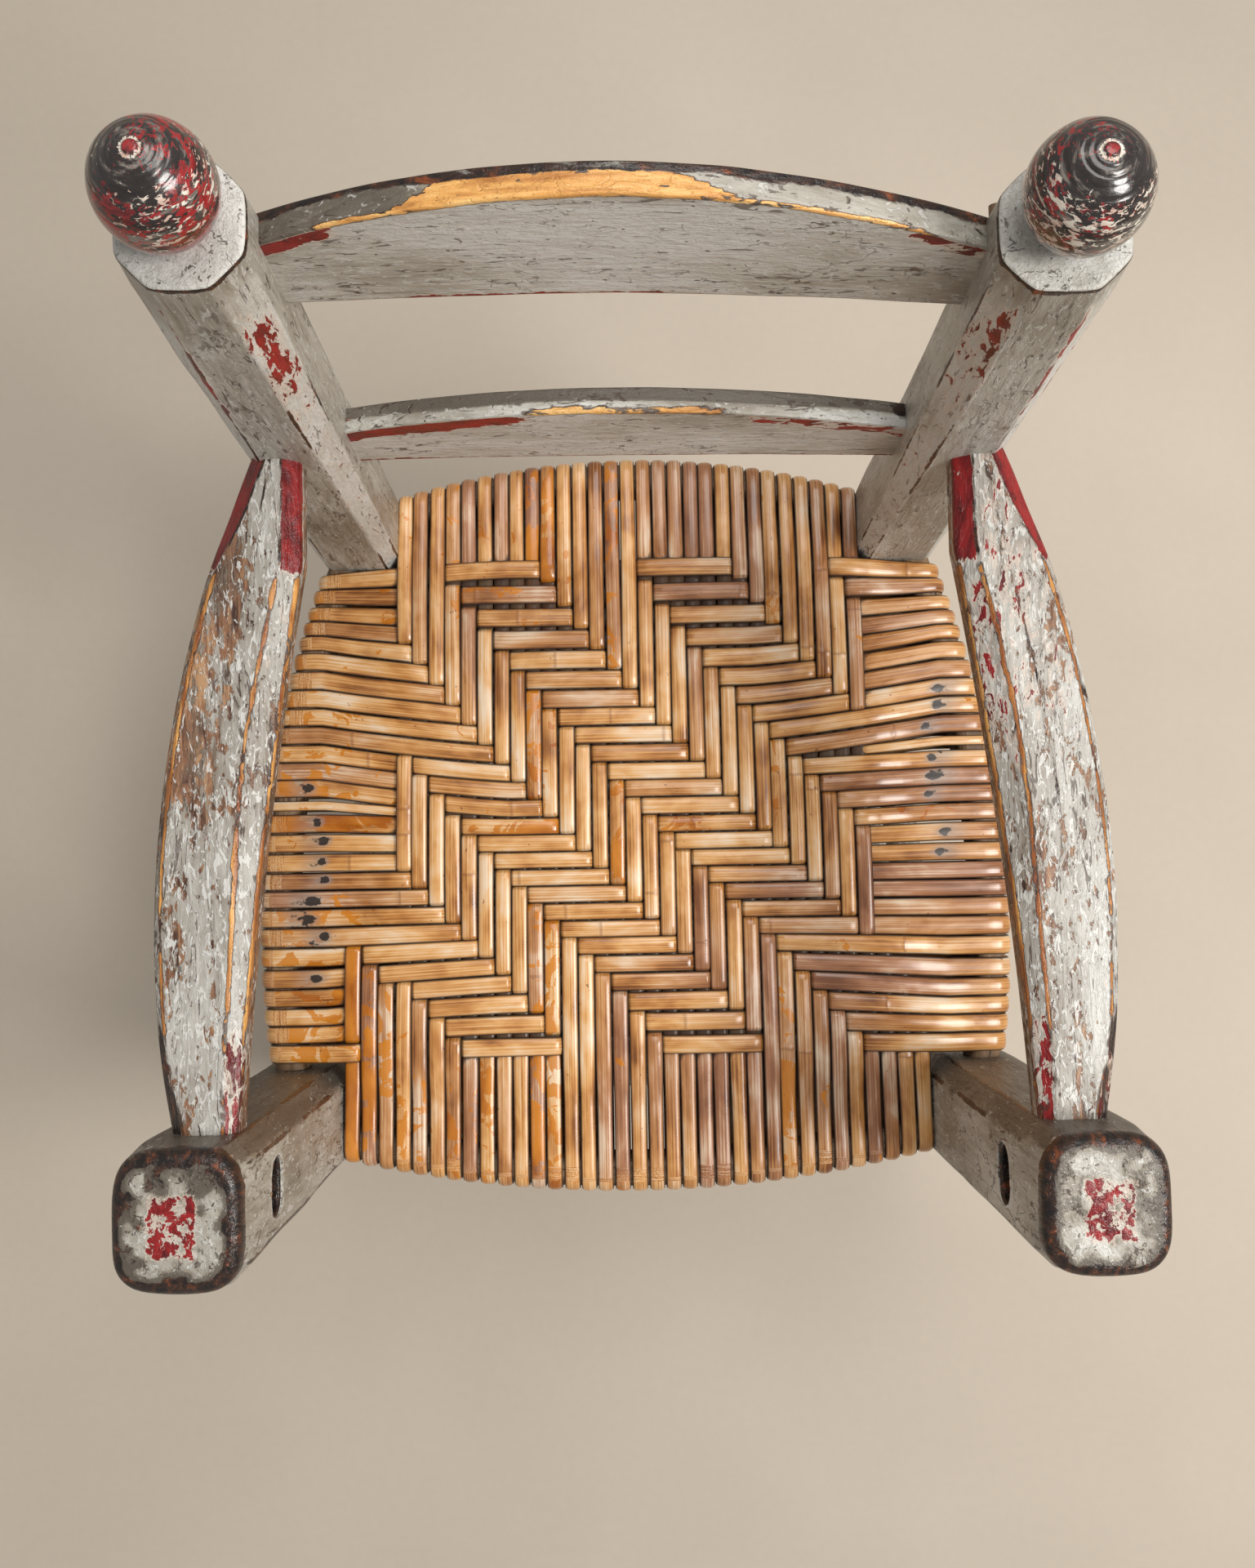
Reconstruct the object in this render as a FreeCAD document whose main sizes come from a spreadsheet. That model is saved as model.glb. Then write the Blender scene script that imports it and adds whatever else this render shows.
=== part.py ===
import FreeCAD, Part
import math
import os

import Sketcher

# A child's armchair with a two-slat back and a woven splint seat.
# It faces -Y, +Z is up, and the origin is on the floor under the middle of its outline.

# Driving dimensions, in millimetres
SIZES = (
    ("front_post_width", 45.0),
    ("front_post_depth", 49.0),
    ("front_post_height", 394.0),
    ("front_post_spacing", 315.0),
    ("front_post_chamfer", 8.0),
    ("front_post_top_bevel", 5.0),
    ("rear_post_width", 37.0),
    ("rear_post_chamfer", 7.0),
    ("rear_post_top_bevel", 2.5),
    ("rear_foot_spacing", 259.0),
    ("rear_foot_setback", 256.0),
    ("rear_shoulder_spacing", 242.0),
    ("rear_shoulder_setback", 293.0),
    ("rear_shoulder_height", 492.0),
    ("foot_bevel", 2.0),
    ("finial_ball_radius", 18.0),
    ("finial_ball_rise", 20.0),
    ("finial_ball_half_height", 17.5),
    ("finial_collar_radius", 12.5),
    ("finial_collar_height", 6.0),
    ("finial_tenon_radius", 7.0),
    ("finial_tenon_length", 24.0),
    ("bar_slot_drop", 46.0),
    ("bar_slot_length", 21.0),
    ("bar_slot_width", 12.5),
    ("arm_drop", 22.0),
    ("arm_thickness", 18.0),
    ("arm_rear_inner", 119.5),
    ("arm_rear_width", 17.5),
    ("arm_front_inner", 143.5),
    ("arm_front_width", 22.5),
    ("arm_outer_bow", 18.5),
    ("arm_inner_bow", 3.0),
    ("arm_neck_length", 34.0),
    ("arm_edge_chamfer", 5.0),
    ("arm_tenon_radius", 6.0),
    ("arm_tenon_length", 17.0),
    ("slat_thickness", 9.5),
    ("slat_tenon_wall", 1.0),
    ("top_slat_drop", 12.0),
    ("top_slat_offset", 5.5),
    ("top_slat_bow", 3.0),
    ("top_slat_end_width", 34.0),
    ("top_slat_crown", 20.5),
    ("slat_gap", 88.0),
    ("lower_slat_offset", 1.5),
    ("lower_slat_bow", 1.2),
    ("lower_slat_end_width", 29.0),
    ("lower_slat_crown", 14.0),
    ("slat_pin_radius", 2.0),
    ("slat_pin_inset", 7.0),
    ("slat_pin_length", 26.0),
    ("slat_pin_proud", 0.8),
    ("seat_height", 240.0),
    ("rail_width", 14.0),
    ("rail_depth", 20.0),
    ("rail_round", 5.0),
    ("rail_tenon_radius", 6.0),
    ("rail_tenon_length", 16.0),
    ("front_rail_offset", 7.0),
    ("front_rail_bow", 17.5),
    ("rear_rail_offset", 6.0),
    ("rear_rail_bow", 17.0),
    ("side_rail_front_offset", 1.5),
    ("side_rail_rear_offset", 7.0),
    ("side_rail_bow", 16.0),
    ("splint_thickness", 1.8),
    ("splint_clearance", 0.2),
    ("warp_width", 6.8),
    ("warp_pitch", 7.36),
    ("weft_width", 8.0),
    ("weft_pitch", 8.68),
    ("stretcher_end_radius", 6.5),
    ("stretcher_swell", 2.5),
    ("stretcher_tenon_length", 16.0),
    ("front_stretcher_height", 105.0),
    ("rear_stretcher_height", 105.0),
    ("side_stretcher_low_height", 70.0),
    ("side_stretcher_high_height", 140.0),
    ("cut_overrun", 5.0),
)

# The length of a side stretcher at a height: from post axis to post axis, less what the posts take up
SIDE_RUN = (
    "sqrt((front_post_x - rear_foot_x + lean_slope * {height})^2"
    " + (rear_foot_setback + rake_slope * {height})^2)"
    " - front_post_half_depth - rear_post_half_width + 2 * stretcher_tenon_length"
)

# Dimensions worked out from the driving ones, by the sheet itself
DERIVED = (
    ("bar_slot_height", "front_post_height - bar_slot_drop"),
    ("arm_top_height", "front_post_height - arm_drop"),
    ("top_slat_height", "rear_shoulder_height - top_slat_drop - top_slat_end_width"),
    ("lower_slat_height", "top_slat_height - slat_gap - lower_slat_end_width"),
    ("front_post_half_width", "front_post_width / 2"),
    ("front_post_half_depth", "front_post_depth / 2"),
    ("rear_post_half_width", "rear_post_width / 2"),
    ("rake_slope", "(rear_shoulder_setback - rear_foot_setback) / rear_shoulder_height"),
    ("lean_slope", "(rear_foot_spacing - rear_shoulder_spacing) / 2 / rear_shoulder_height"),
    ("splint_stand_off", "splint_clearance + splint_thickness"),
    ("seat_front_reach", "front_rail_offset + rail_width / 2 + front_rail_bow + splint_stand_off"),
    ("back_reach", "rear_shoulder_setback + finial_ball_rise * sin(atan(rake_slope)) + finial_ball_radius"),
    ("front_post_y", "(seat_front_reach - back_reach) / 2"),
    ("front_post_x", "front_post_spacing / 2"),
    ("rear_foot_x", "rear_foot_spacing / 2"),
    ("rear_foot_y", "front_post_y + rear_foot_setback"),
    ("front_post_inner_x", "front_post_x - front_post_width / 2"),
    ("front_post_back_y", "front_post_y + front_post_depth / 2"),
    ("weave_middle_height", "seat_height - splint_thickness - splint_clearance / 2"),
    ("rail_top_height", "weave_middle_height - splint_thickness - splint_clearance * 3 / 2"),
    ("rail_base_height", "rail_top_height - rail_depth"),
    ("rear_seat_x", "rear_foot_x - lean_slope * rail_top_height"),
    ("rear_seat_y", "rear_foot_y + rake_slope * rail_top_height"),
    ("rear_seat_inner_x", "rear_seat_x - rear_post_width / 2"),
    ("rear_seat_front_y", "rear_seat_y - rear_post_width / 2"),
    ("rear_scribe_y", "rear_seat_front_y + cut_overrun"),
    ("front_scribe_y", "front_post_back_y - cut_overrun"),
    ("front_rail_end_x", "front_post_inner_x + cut_overrun"),
    ("front_rail_outer_y", "front_post_y - front_rail_offset - rail_width / 2"),
    ("front_rail_inner_y", "front_post_y - front_rail_offset + rail_width / 2"),
    ("rear_rail_end_x", "rear_seat_inner_x + cut_overrun"),
    ("rear_rail_outer_y", "rear_seat_y + rear_rail_offset + rail_width / 2"),
    ("rear_rail_inner_y", "rear_seat_y + rear_rail_offset - rail_width / 2"),
    ("side_rail_front_outer_x", "front_post_x + side_rail_front_offset + rail_width / 2"),
    ("side_rail_front_inner_x", "front_post_x + side_rail_front_offset - rail_width / 2"),
    ("side_rail_rear_outer_x", "rear_seat_x + side_rail_rear_offset + rail_width / 2"),
    ("side_rail_rear_inner_x", "rear_seat_x + side_rail_rear_offset - rail_width / 2"),
    ("arm_base_height", "arm_top_height - arm_thickness"),
    ("arm_rear_face_y", "rear_foot_y + rake_slope * arm_top_height - rear_post_width / 2"),
    ("arm_rear_scribe_y", "arm_rear_face_y + cut_overrun"),
    ("arm_neck_y", "arm_rear_face_y - arm_neck_length"),
    ("arm_rear_outer", "arm_rear_inner + arm_rear_width"),
    ("arm_front_outer", "arm_front_inner + arm_front_width"),
    ("slat_half_thickness", "slat_thickness / 2"),
    ("slat_tenon_length", "rear_post_half_width - finial_tenon_radius - slat_tenon_wall"),
    ("top_slat_span", "rear_foot_x - lean_slope * top_slat_height - rear_post_width / 2"),
    ("top_slat_half_length", "top_slat_span + slat_tenon_length"),
    ("top_slat_full_width", "top_slat_end_width + top_slat_crown"),
    ("top_slat_trim_height", "top_slat_full_width + cut_overrun"),
    ("top_slat_trim_half_length", "top_slat_half_length + cut_overrun"),
    ("lower_slat_span", "rear_foot_x - lean_slope * lower_slat_height - rear_post_width / 2"),
    ("lower_slat_half_length", "lower_slat_span + slat_tenon_length"),
    ("lower_slat_full_width", "lower_slat_end_width + lower_slat_crown"),
    ("lower_slat_trim_height", "lower_slat_full_width + cut_overrun"),
    ("lower_slat_trim_half_length", "lower_slat_half_length + cut_overrun"),
    ("arm_tenon_reach", "arm_tenon_length + cut_overrun"),
    ("rail_tenon_reach", "rail_tenon_length + cut_overrun"),
    ("bar_slot_round", "bar_slot_width / 2"),
    ("bar_slot_flat", "bar_slot_length - bar_slot_width"),
    ("bar_slot_run", "front_post_width + 2 * cut_overrun"),
    ("stretcher_middle_radius", "stretcher_end_radius + stretcher_swell"),
    ("front_stretcher_length", "front_post_spacing - front_post_width + 2 * stretcher_tenon_length"),
    ("rear_stretcher_x", "rear_foot_x - lean_slope * rear_stretcher_height"),
    ("rear_stretcher_length", "2 * rear_stretcher_x - rear_post_width + 2 * stretcher_tenon_length"),
    ("side_stretcher_low_length", SIDE_RUN.format(height="side_stretcher_low_height")),
    ("side_stretcher_high_length", SIDE_RUN.format(height="side_stretcher_high_height")),
)

UP = FreeCAD.Vector(0, 0, 1)
TO_RIGHT = FreeCAD.Vector(1, 0, 0)
TO_BACK = FreeCAD.Vector(0, 1, 0)
SIDES = (("left", -1), ("right", 1))
# Each splint floats over this many crossings, then dives under as many, one crossing further each row.
TWILL_FLOAT = 6
# The first float of the front row's neighbours starts at this column.
TWILL_START = 1
# Two lengths that differ by less than this share count as equal.
CLOSE_SHARE = 1e-6

doc = FreeCAD.newDocument("child_chair")
sheet = doc.addObject("Spreadsheet::Sheet", "sizes")
for row, (alias, content) in enumerate(SIZES + DERIVED, start=1):
    sheet.set(f"A{row}", alias)
    sheet.set(f"B{row}", str(content) if isinstance(content, float) else f"={content}")
    sheet.setAlias(f"B{row}", alias)
doc.recompute()
size = {alias: float(sheet.get(alias)) for alias, _ in SIZES + DERIVED}


# Helpers that bind objects to the sheet

def cell(term):
    """The sheet expression of a cell's name, with or without a minus sign."""
    return f"-sizes.{term[1:]}" if term.startswith("-") else f"sizes.{term}"


def length_of(term):
    """The number that the same term stands for."""
    return -size[term[1:]] if term.startswith("-") else size[term]


def flip(term):
    """The term with its sign changed."""
    return term[1:] if term.startswith("-") else f"-{term}"


def bind(item, **terms):
    """Binds each property of an object to a cell."""
    for name, term in terms.items():
        item.setExpression(name, cell(term))


def new_body(label, place=FreeCAD.Vector(0, 0, 0), turn=FreeCAD.Rotation()):
    body = doc.addObject("PartDesign::Body", label)
    body.Label = label
    body.Placement = FreeCAD.Placement(place, turn)
    return body


def plane_of(body, role):
    return next(plane for plane in body.Origin.OriginFeatures if plane.Role == role)


def draw_outline(body, name, role, corners, bows=None):
    """A closed sketch through corners given as pairs of cell names.

    bows maps the number of an edge to (cell name, 1 or -1): that edge is an arc of this height,
    which bulges to the left (1) or right (-1) of its direction.
    """
    bows = bows or {}
    sketch = body.newObject("Sketcher::SketchObject", f"{body.Label}_{name}")
    sketch.AttachmentSupport = [(plane_of(body, role), "")]
    sketch.MapMode = "FlatFace"
    points = [FreeCAD.Vector(length_of(across), length_of(along), 0) for across, along in corners]
    heads = []
    for edge, start in enumerate(points):
        following = (edge + 1) % len(points)
        end = points[following]
        if edge not in bows:
            sketch.addGeometry(Part.LineSegment(start, end))
            heads.append((1, 2))
            continue
        bow, bulge = bows[edge]
        leftward = UP.cross(end - start).normalize()
        crest = (start + end) * 0.5 + leftward * bulge * size[bow]
        turned = bulge > 0
        sketch.addGeometry(Part.Arc(end, crest, start) if turned else Part.Arc(start, crest, end))
        heads.append((2, 1) if turned else (1, 2))
    for edge in range(len(points)):
        following = (edge + 1) % len(points)
        meeting = (edge, heads[edge][1], following, heads[following][0])
        sketch.addConstraint(Sketcher.Constraint("Coincident", *meeting))
    for edge, (across, along) in enumerate(corners):
        for kind, term in (("DistanceX", across), ("DistanceY", along)):
            limit = Sketcher.Constraint(kind, -1, 1, edge, heads[edge][0], length_of(term))
            number = sketch.addConstraint(limit)
            sketch.setExpression(f"Constraints[{number}]", cell(term))
        if edge in bows:
            other_across, other_along = corners[(edge + 1) % len(corners)]
            bow = cell(bows[edge][0])
            run = f"({cell(other_across)} - ({cell(across)}))"
            rise = f"({cell(other_along)} - ({cell(along)}))"
            number = sketch.addConstraint(Sketcher.Constraint("Radius", edge, sketch.Geometry[edge].Radius))
            radius = f"({run}^2 + {rise}^2 + 4 * ({bow})^2) / (8 * {bow})"
            sketch.setExpression(f"Constraints[{number}]", radius)
    return sketch


def pad(body, name, sketch, height):
    feature = body.newObject("PartDesign::Pad", f"{body.Label}_{name}")
    feature.Profile = sketch
    bind(feature, Length=height)
    doc.recompute()
    return feature


def edges_where(feature, test):
    """The names of a feature's edges whose two ends both pass a test."""
    return [
        f"Edge{number}"
        for number, edge in enumerate(feature.Shape.Edges, start=1)
        if all(test(vertex.Point) for vertex in edge.Vertexes)
    ]


def ease_edges(body, kind, name, base, edges, cell_name):
    """A chamfer or fillet on named edges of a body's last feature."""
    feature = body.newObject(f"PartDesign::{kind}", f"{body.Label}_{name}")
    feature.Base = (base, edges)
    bind(feature, **{"Radius" if kind == "Fillet" else "Size": cell_name})
    doc.recompute()
    return feature


def peg(label, start, direction, radius, length):
    """A round peg from a point along a direction, sized by two cells."""
    rod = doc.addObject("Part::Cylinder", label)
    bind(rod, Radius=radius, Height=length)
    rod.Placement = FreeCAD.Placement(start, FreeCAD.Rotation(UP, direction))
    return rod


def joined(label, pieces):
    fuse = doc.addObject("Part::MultiFuse", label)
    fuse.Shapes = pieces
    fuse.Refine = True
    fuse.Label = label
    return fuse


def grouped(label, pieces):
    group = doc.addObject("Part::Compound", label)
    group.Links = pieces
    group.Label = label
    return group


def cut_by(label, base, tools):
    cut = doc.addObject("Part::Cut", label)
    cut.Base = base
    cut.Tool = tools[0] if len(tools) == 1 else grouped(f"{label}_cutters", tools)
    cut.Label = label
    return cut


def mirrored(term, side):
    """A cell term for the +X side, carried to the side asked for."""
    return term if side > 0 else flip(term)


def rear_axis(side, height):
    """The middle of a rear post at a height."""
    across = side * (size["rear_foot_x"] - size["lean_slope"] * height)
    return FreeCAD.Vector(across, size["rear_foot_y"] + size["rake_slope"] * height, height)


def front_axis(side, height):
    """The middle of a front post at a height."""
    return FreeCAD.Vector(side * size["front_post_x"], size["front_post_y"], height)


rake = math.degrees(math.atan(size["rake_slope"]))
back_turn = FreeCAD.Rotation(TO_RIGHT, -rake)


# Posts before they are mortised

def post_outline(width, depth):
    """A rectangle round the post's axis, from two cells of half sizes."""
    return ((f"-{width}", f"-{depth}"), (width, f"-{depth}"), (width, depth), (f"-{width}", depth))


def post_blank(label, half_width, half_depth, height, chamfer, top_bevel, foot, slant):
    """A post with chamfered corners, padded along its slant, eased at the foot and bevelled at the top."""
    body = new_body(label, foot)
    sketch = draw_outline(body, "section", "XY_Plane", post_outline(half_width, half_depth))
    stem = body.newObject("PartDesign::Pad", f"{label}_stem")
    stem.Profile = sketch
    stem.UseCustomVector = True
    stem.Direction = slant
    stem.AlongSketchNormal = True
    bind(stem, Length=height)
    doc.recompute()
    long_edges = [
        f"Edge{number}"
        for number, edge in enumerate(stem.Shape.Edges, start=1)
        if edge.Length >= size[height] * (1 - CLOSE_SHARE)
    ]
    shaft = ease_edges(body, "Chamfer", "corners", stem, long_edges, chamfer)
    top = size[height]
    top_edges = edges_where(shaft, lambda point: math.isclose(point.z, top, rel_tol=CLOSE_SHARE))
    shaft = ease_edges(body, "Chamfer", "top", shaft, top_edges, top_bevel)
    foot_edges = edges_where(shaft, lambda point: abs(point.z) < size["foot_bevel"] / 2)
    ease_edges(body, "Chamfer", "foot", shaft, foot_edges, "foot_bevel")
    return body


front_blanks = {}
rear_blanks = {}
for side_name, side in SIDES:
    front_blanks[side] = post_blank(
        f"front_post_blank_{side_name}",
        "front_post_half_width",
        "front_post_half_depth",
        "front_post_height",
        "front_post_chamfer",
        "front_post_top_bevel",
        front_axis(side, 0),
        UP,
    )
    rear_blanks[side] = post_blank(
        f"rear_post_blank_{side_name}",
        "rear_post_half_width",
        "rear_post_half_width",
        "rear_shoulder_height",
        "rear_post_chamfer",
        "rear_post_top_bevel",
        rear_axis(side, 0),
        FreeCAD.Vector(-side * size["lean_slope"], size["rake_slope"], 1),
    )


# Turned finials, each with a collar and a tenon in the top of its post

def finial(side_name, side):
    ball = doc.addObject("Part::Ellipsoid", f"finial_ball_{side_name}")
    bind(ball, Radius1="finial_ball_half_height", Radius2="finial_ball_radius", Radius3="finial_ball_radius")
    ball.Placement.Base = UP * size["finial_ball_rise"]
    collar = peg(f"finial_collar_{side_name}", UP * 0, UP, "finial_collar_radius", "finial_collar_height")
    tenon_start = UP * -size["finial_tenon_length"]
    tenon = peg(f"finial_tenon_{side_name}", tenon_start, UP, "finial_tenon_radius", "finial_tenon_length")
    turned = joined(f"finial_{side_name}", [ball, collar, tenon])
    turned.Placement = FreeCAD.Placement(rear_axis(side, size["rear_shoulder_height"]), back_turn)
    return turned


finials = {side: finial(side_name, side) for side_name, side in SIDES}


# Arms: flat boards that swell outwards, scribed to the posts and tenoned into them

def arm(side_name, side):
    body = new_body(f"arm_board_{side_name}", UP * size["arm_base_height"])
    corners = (
        (mirrored("arm_front_outer", side), "front_scribe_y"),
        (mirrored("arm_rear_outer", side), "arm_rear_scribe_y"),
        (mirrored("arm_rear_inner", side), "arm_rear_scribe_y"),
        (mirrored("arm_rear_inner", side), "arm_neck_y"),
        (mirrored("arm_front_inner", side), "front_scribe_y"),
    )
    bows = {0: ("arm_outer_bow", -side), 3: ("arm_inner_bow", side)}
    board = pad(body, "board", draw_outline(body, "outline", "XY_Plane", corners, bows), "arm_thickness")
    low_y = size["front_post_back_y"]
    high_y = size["arm_rear_face_y"]
    rims = [
        f"Edge{number}"
        for number, edge in enumerate(board.Shape.Edges, start=1)
        if abs(edge.Vertexes[0].Z - edge.Vertexes[-1].Z) < size["arm_edge_chamfer"]
        and abs(edge.Vertexes[0].Y - edge.Vertexes[-1].Y) > size["arm_edge_chamfer"]
    ]
    ease_edges(body, "Chamfer", "rims", board, rims, "arm_edge_chamfer")
    scribed = cut_by(f"arm_scribed_{side_name}", body, [front_blanks[side], rear_blanks[side]])
    middle_height = size["arm_base_height"] + size["arm_thickness"] / 2
    rear_x = side * (size["arm_rear_inner"] + size["arm_rear_width"] / 2)
    front_x = side * (size["arm_front_inner"] + size["arm_front_width"] / 2)
    rear_tenon = peg(
        f"arm_rear_tenon_{side_name}",
        FreeCAD.Vector(rear_x, high_y - size["cut_overrun"], middle_height),
        TO_BACK,
        "arm_tenon_radius",
        "arm_tenon_reach",
    )
    front_tenon = peg(
        f"arm_front_tenon_{side_name}",
        FreeCAD.Vector(front_x, low_y + size["cut_overrun"], middle_height),
        -TO_BACK,
        "arm_tenon_radius",
        "arm_tenon_reach",
    )
    return joined(f"arm_{side_name}", [scribed, rear_tenon, front_tenon])


arms = {side: arm(side_name, side) for side_name, side in SIDES}


# Back slats: bowed boards with an arched top edge, let into both rear posts and pinned

def slat_board(name):
    """A slat before its pin holes, in the raked plane of the back."""
    foot = rear_axis(1, size[f"{name}_height"])
    foot.x = 0
    foot.y += size[f"{name}_offset"]
    body = new_body(f"{name}_board", foot, back_turn)
    half_length = f"{name}_half_length"
    plan = (
        (f"-{half_length}", "-slat_half_thickness"),
        (half_length, "-slat_half_thickness"),
        (half_length, "slat_half_thickness"),
        (f"-{half_length}", "slat_half_thickness"),
    )
    plan_bows = {0: (f"{name}_bow", 1), 2: (f"{name}_bow", -1)}
    blank = pad(body, "blank", draw_outline(body, "plan", "XY_Plane", plan, plan_bows), f"{name}_full_width")
    edge = f"{name}_trim_half_length"
    top = f"{name}_trim_height"
    shoulder = f"{name}_end_width"
    span = f"{name}_span"
    waste = (
        (f"-{edge}", shoulder),
        (f"-{span}", shoulder),
        (span, shoulder),
        (edge, shoulder),
        (edge, top),
        (f"-{edge}", top),
    )
    arch = draw_outline(body, "arch", "XZ_Plane", waste, {1: (f"{name}_crown", 1)})
    trim = body.newObject("PartDesign::Pocket", f"{name}_trim")
    trim.Profile = arch
    trim.Type = "ThroughAll"
    trim.Midplane = True
    doc.recompute()
    if not trim.Shape.Volume < blank.Shape.Volume:
        raise RuntimeError(f"the arch of {name} cut nothing")
    return body


def slat_pins(name):
    """One pin at each end of a slat, driven from behind through the post and the slat's tenon."""
    height = size[f"{name}_height"] + size[f"{name}_end_width"] / 2
    pins = []
    for side_name, side in SIDES:
        middle = rear_axis(side, height)
        middle.x = side * (size[f"{name}_span"] + size["slat_pin_inset"])
        behind = middle + TO_BACK * (size["rear_post_width"] / 2 + size["slat_pin_proud"])
        pins.append(peg(f"{name}_pin_{side_name}", behind, -TO_BACK, "slat_pin_radius", "slat_pin_length"))
    return pins


slats = {}
all_pins = []
for slat_name in ("top_slat", "lower_slat"):
    pins = slat_pins(slat_name)
    slats[slat_name] = cut_by(slat_name, slat_board(slat_name), pins)
    all_pins += pins
pin_group = grouped("slat_pins", all_pins)


# Seat rails: bowed outwards, rounded where the splints turn, scribed to the posts and tenoned into them

def seat_rail(name, corners, bows, blanks, tenons):
    body = new_body(f"{name}_bow", UP * size["rail_base_height"])
    bow = pad(body, "bow", draw_outline(body, "plan", "XY_Plane", corners, bows), "rail_depth")
    round_edges = [
        f"Edge{number}"
        for number, edge in enumerate(bow.Shape.Edges, start=1)
        if edge.Curve.TypeId == "Part::GeomCircle"
    ]
    ease_edges(body, "Fillet", "round", bow, round_edges, "rail_round")
    scribed = cut_by(f"{name}_scribed", body, blanks)
    pegs = [
        peg(f"{name}_tenon_{number}", start, direction, "rail_tenon_radius", "rail_tenon_reach")
        for number, (start, direction) in enumerate(tenons)
    ]
    return joined(name, [scribed] + pegs)


rail_middle = size["rail_base_height"] + size["rail_depth"] / 2


def cross_rail(name, prefix, offset_y, inner_x, blanks, outward):
    """The front or rear rail, which bows the way outward says along Y."""
    corners = (
        (f"-{prefix}_end_x", f"{prefix}_outer_y"),
        (f"{prefix}_end_x", f"{prefix}_outer_y"),
        (f"{prefix}_end_x", f"{prefix}_inner_y"),
        (f"-{prefix}_end_x", f"{prefix}_inner_y"),
    )
    bows = {0: (f"{prefix}_bow", outward), 2: (f"{prefix}_bow", -outward)}
    tenons = [
        (FreeCAD.Vector(side * (inner_x - size["cut_overrun"]), offset_y, rail_middle), TO_RIGHT * side)
        for _, side in SIDES
    ]
    return seat_rail(name, corners, bows, blanks, tenons)


def side_rail(side_name, side):
    corners = (
        (mirrored("side_rail_front_outer_x", side), "front_scribe_y"),
        (mirrored("side_rail_rear_outer_x", side), "rear_scribe_y"),
        (mirrored("side_rail_rear_inner_x", side), "rear_scribe_y"),
        (mirrored("side_rail_front_inner_x", side), "front_scribe_y"),
    )
    bows = {0: ("side_rail_bow", -side), 2: ("side_rail_bow", side)}
    rear_x = side * (size["rear_seat_x"] + size["side_rail_rear_offset"])
    front_x = side * (size["front_post_x"] + size["side_rail_front_offset"])
    tenons = [
        (FreeCAD.Vector(rear_x, size["rear_seat_front_y"] - size["cut_overrun"], rail_middle), TO_BACK),
        (FreeCAD.Vector(front_x, size["front_post_back_y"] + size["cut_overrun"], rail_middle), -TO_BACK),
    ]
    return seat_rail(f"seat_rail_{side_name}", corners, bows, [front_blanks[side], rear_blanks[side]], tenons)


rails = {
    "front": cross_rail(
        "seat_rail_front",
        "front_rail",
        size["front_post_y"] - size["front_rail_offset"],
        size["front_post_inner_x"],
        list(front_blanks.values()),
        -1,
    ),
    "rear": cross_rail(
        "seat_rail_rear",
        "rear_rail",
        size["rear_seat_y"] + size["rear_rail_offset"],
        size["rear_seat_inner_x"],
        list(rear_blanks.values()),
        1,
    ),
}
rails.update({side: side_rail(side_name, side) for side_name, side in SIDES})


# Stretchers: turned rungs, thicker in the middle, let into the legs

def stretcher(label, start_post, end_post, start_half, length):
    """A rung from one post axis towards another, which enters each post by one tenon length."""
    direction = (end_post - start_post).normalize()
    rod = peg(f"{label}_rod", UP * 0, UP, "stretcher_end_radius", length)
    swell = doc.addObject("Part::Ellipsoid", f"{label}_swell")
    swell.setExpression("Radius1", f"{cell(length)} / 2 - sizes.stretcher_tenon_length")
    bind(swell, Radius2="stretcher_middle_radius", Radius3="stretcher_middle_radius")
    swell.Placement.Base = UP * (size[length] / 2)
    rung = joined(label, [rod, swell])
    start = start_post + direction * (size[start_half] - size["stretcher_tenon_length"])
    rung.Placement = FreeCAD.Placement(start, FreeCAD.Rotation(UP, direction))
    return rung


def level_stretcher(end, axis):
    """The rung across one end of the chair, from the left post to the right one."""
    height = size[f"{end}_stretcher_height"]
    posts = (axis(-1, height), axis(1, height))
    return stretcher(f"stretcher_{end}", *posts, f"{end}_post_half_width", f"{end}_stretcher_length")


stretchers = {
    "front": level_stretcher("front", front_axis),
    "rear": level_stretcher("rear", rear_axis),
}
for side_name, side in SIDES:
    for level in ("low", "high"):
        height = size[f"side_stretcher_{level}_height"]
        stretchers[side, level] = stretcher(
            f"stretcher_{side_name}_{level}",
            front_axis(side, height),
            rear_axis(side, height),
            "front_post_half_depth",
            f"side_stretcher_{level}_length",
        )


# Posts, mortised for everything that is let into them

def bar_slot(side_name, side):
    """The oblong cutter of the slot through a front post, in which a safety bar would slide."""
    middle = front_axis(side, size["bar_slot_height"])
    start = middle - TO_RIGHT * (size["bar_slot_run"] / 2)
    half_flat = TO_BACK * (size["bar_slot_flat"] / 2)
    ends = [
        peg(f"bar_slot_{side_name}_{name}", start + shift, TO_RIGHT, "bar_slot_round", "bar_slot_run")
        for name, shift in (("front", -half_flat), ("rear", half_flat))
    ]
    flat = doc.addObject("Part::Box", f"bar_slot_{side_name}_flat")
    bind(flat, Length="bar_slot_run", Width="bar_slot_flat", Height="bar_slot_width")
    flat.Placement.Base = start - half_flat - UP * size["bar_slot_round"]
    return joined(f"bar_slot_{side_name}", ends + [flat])


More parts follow.
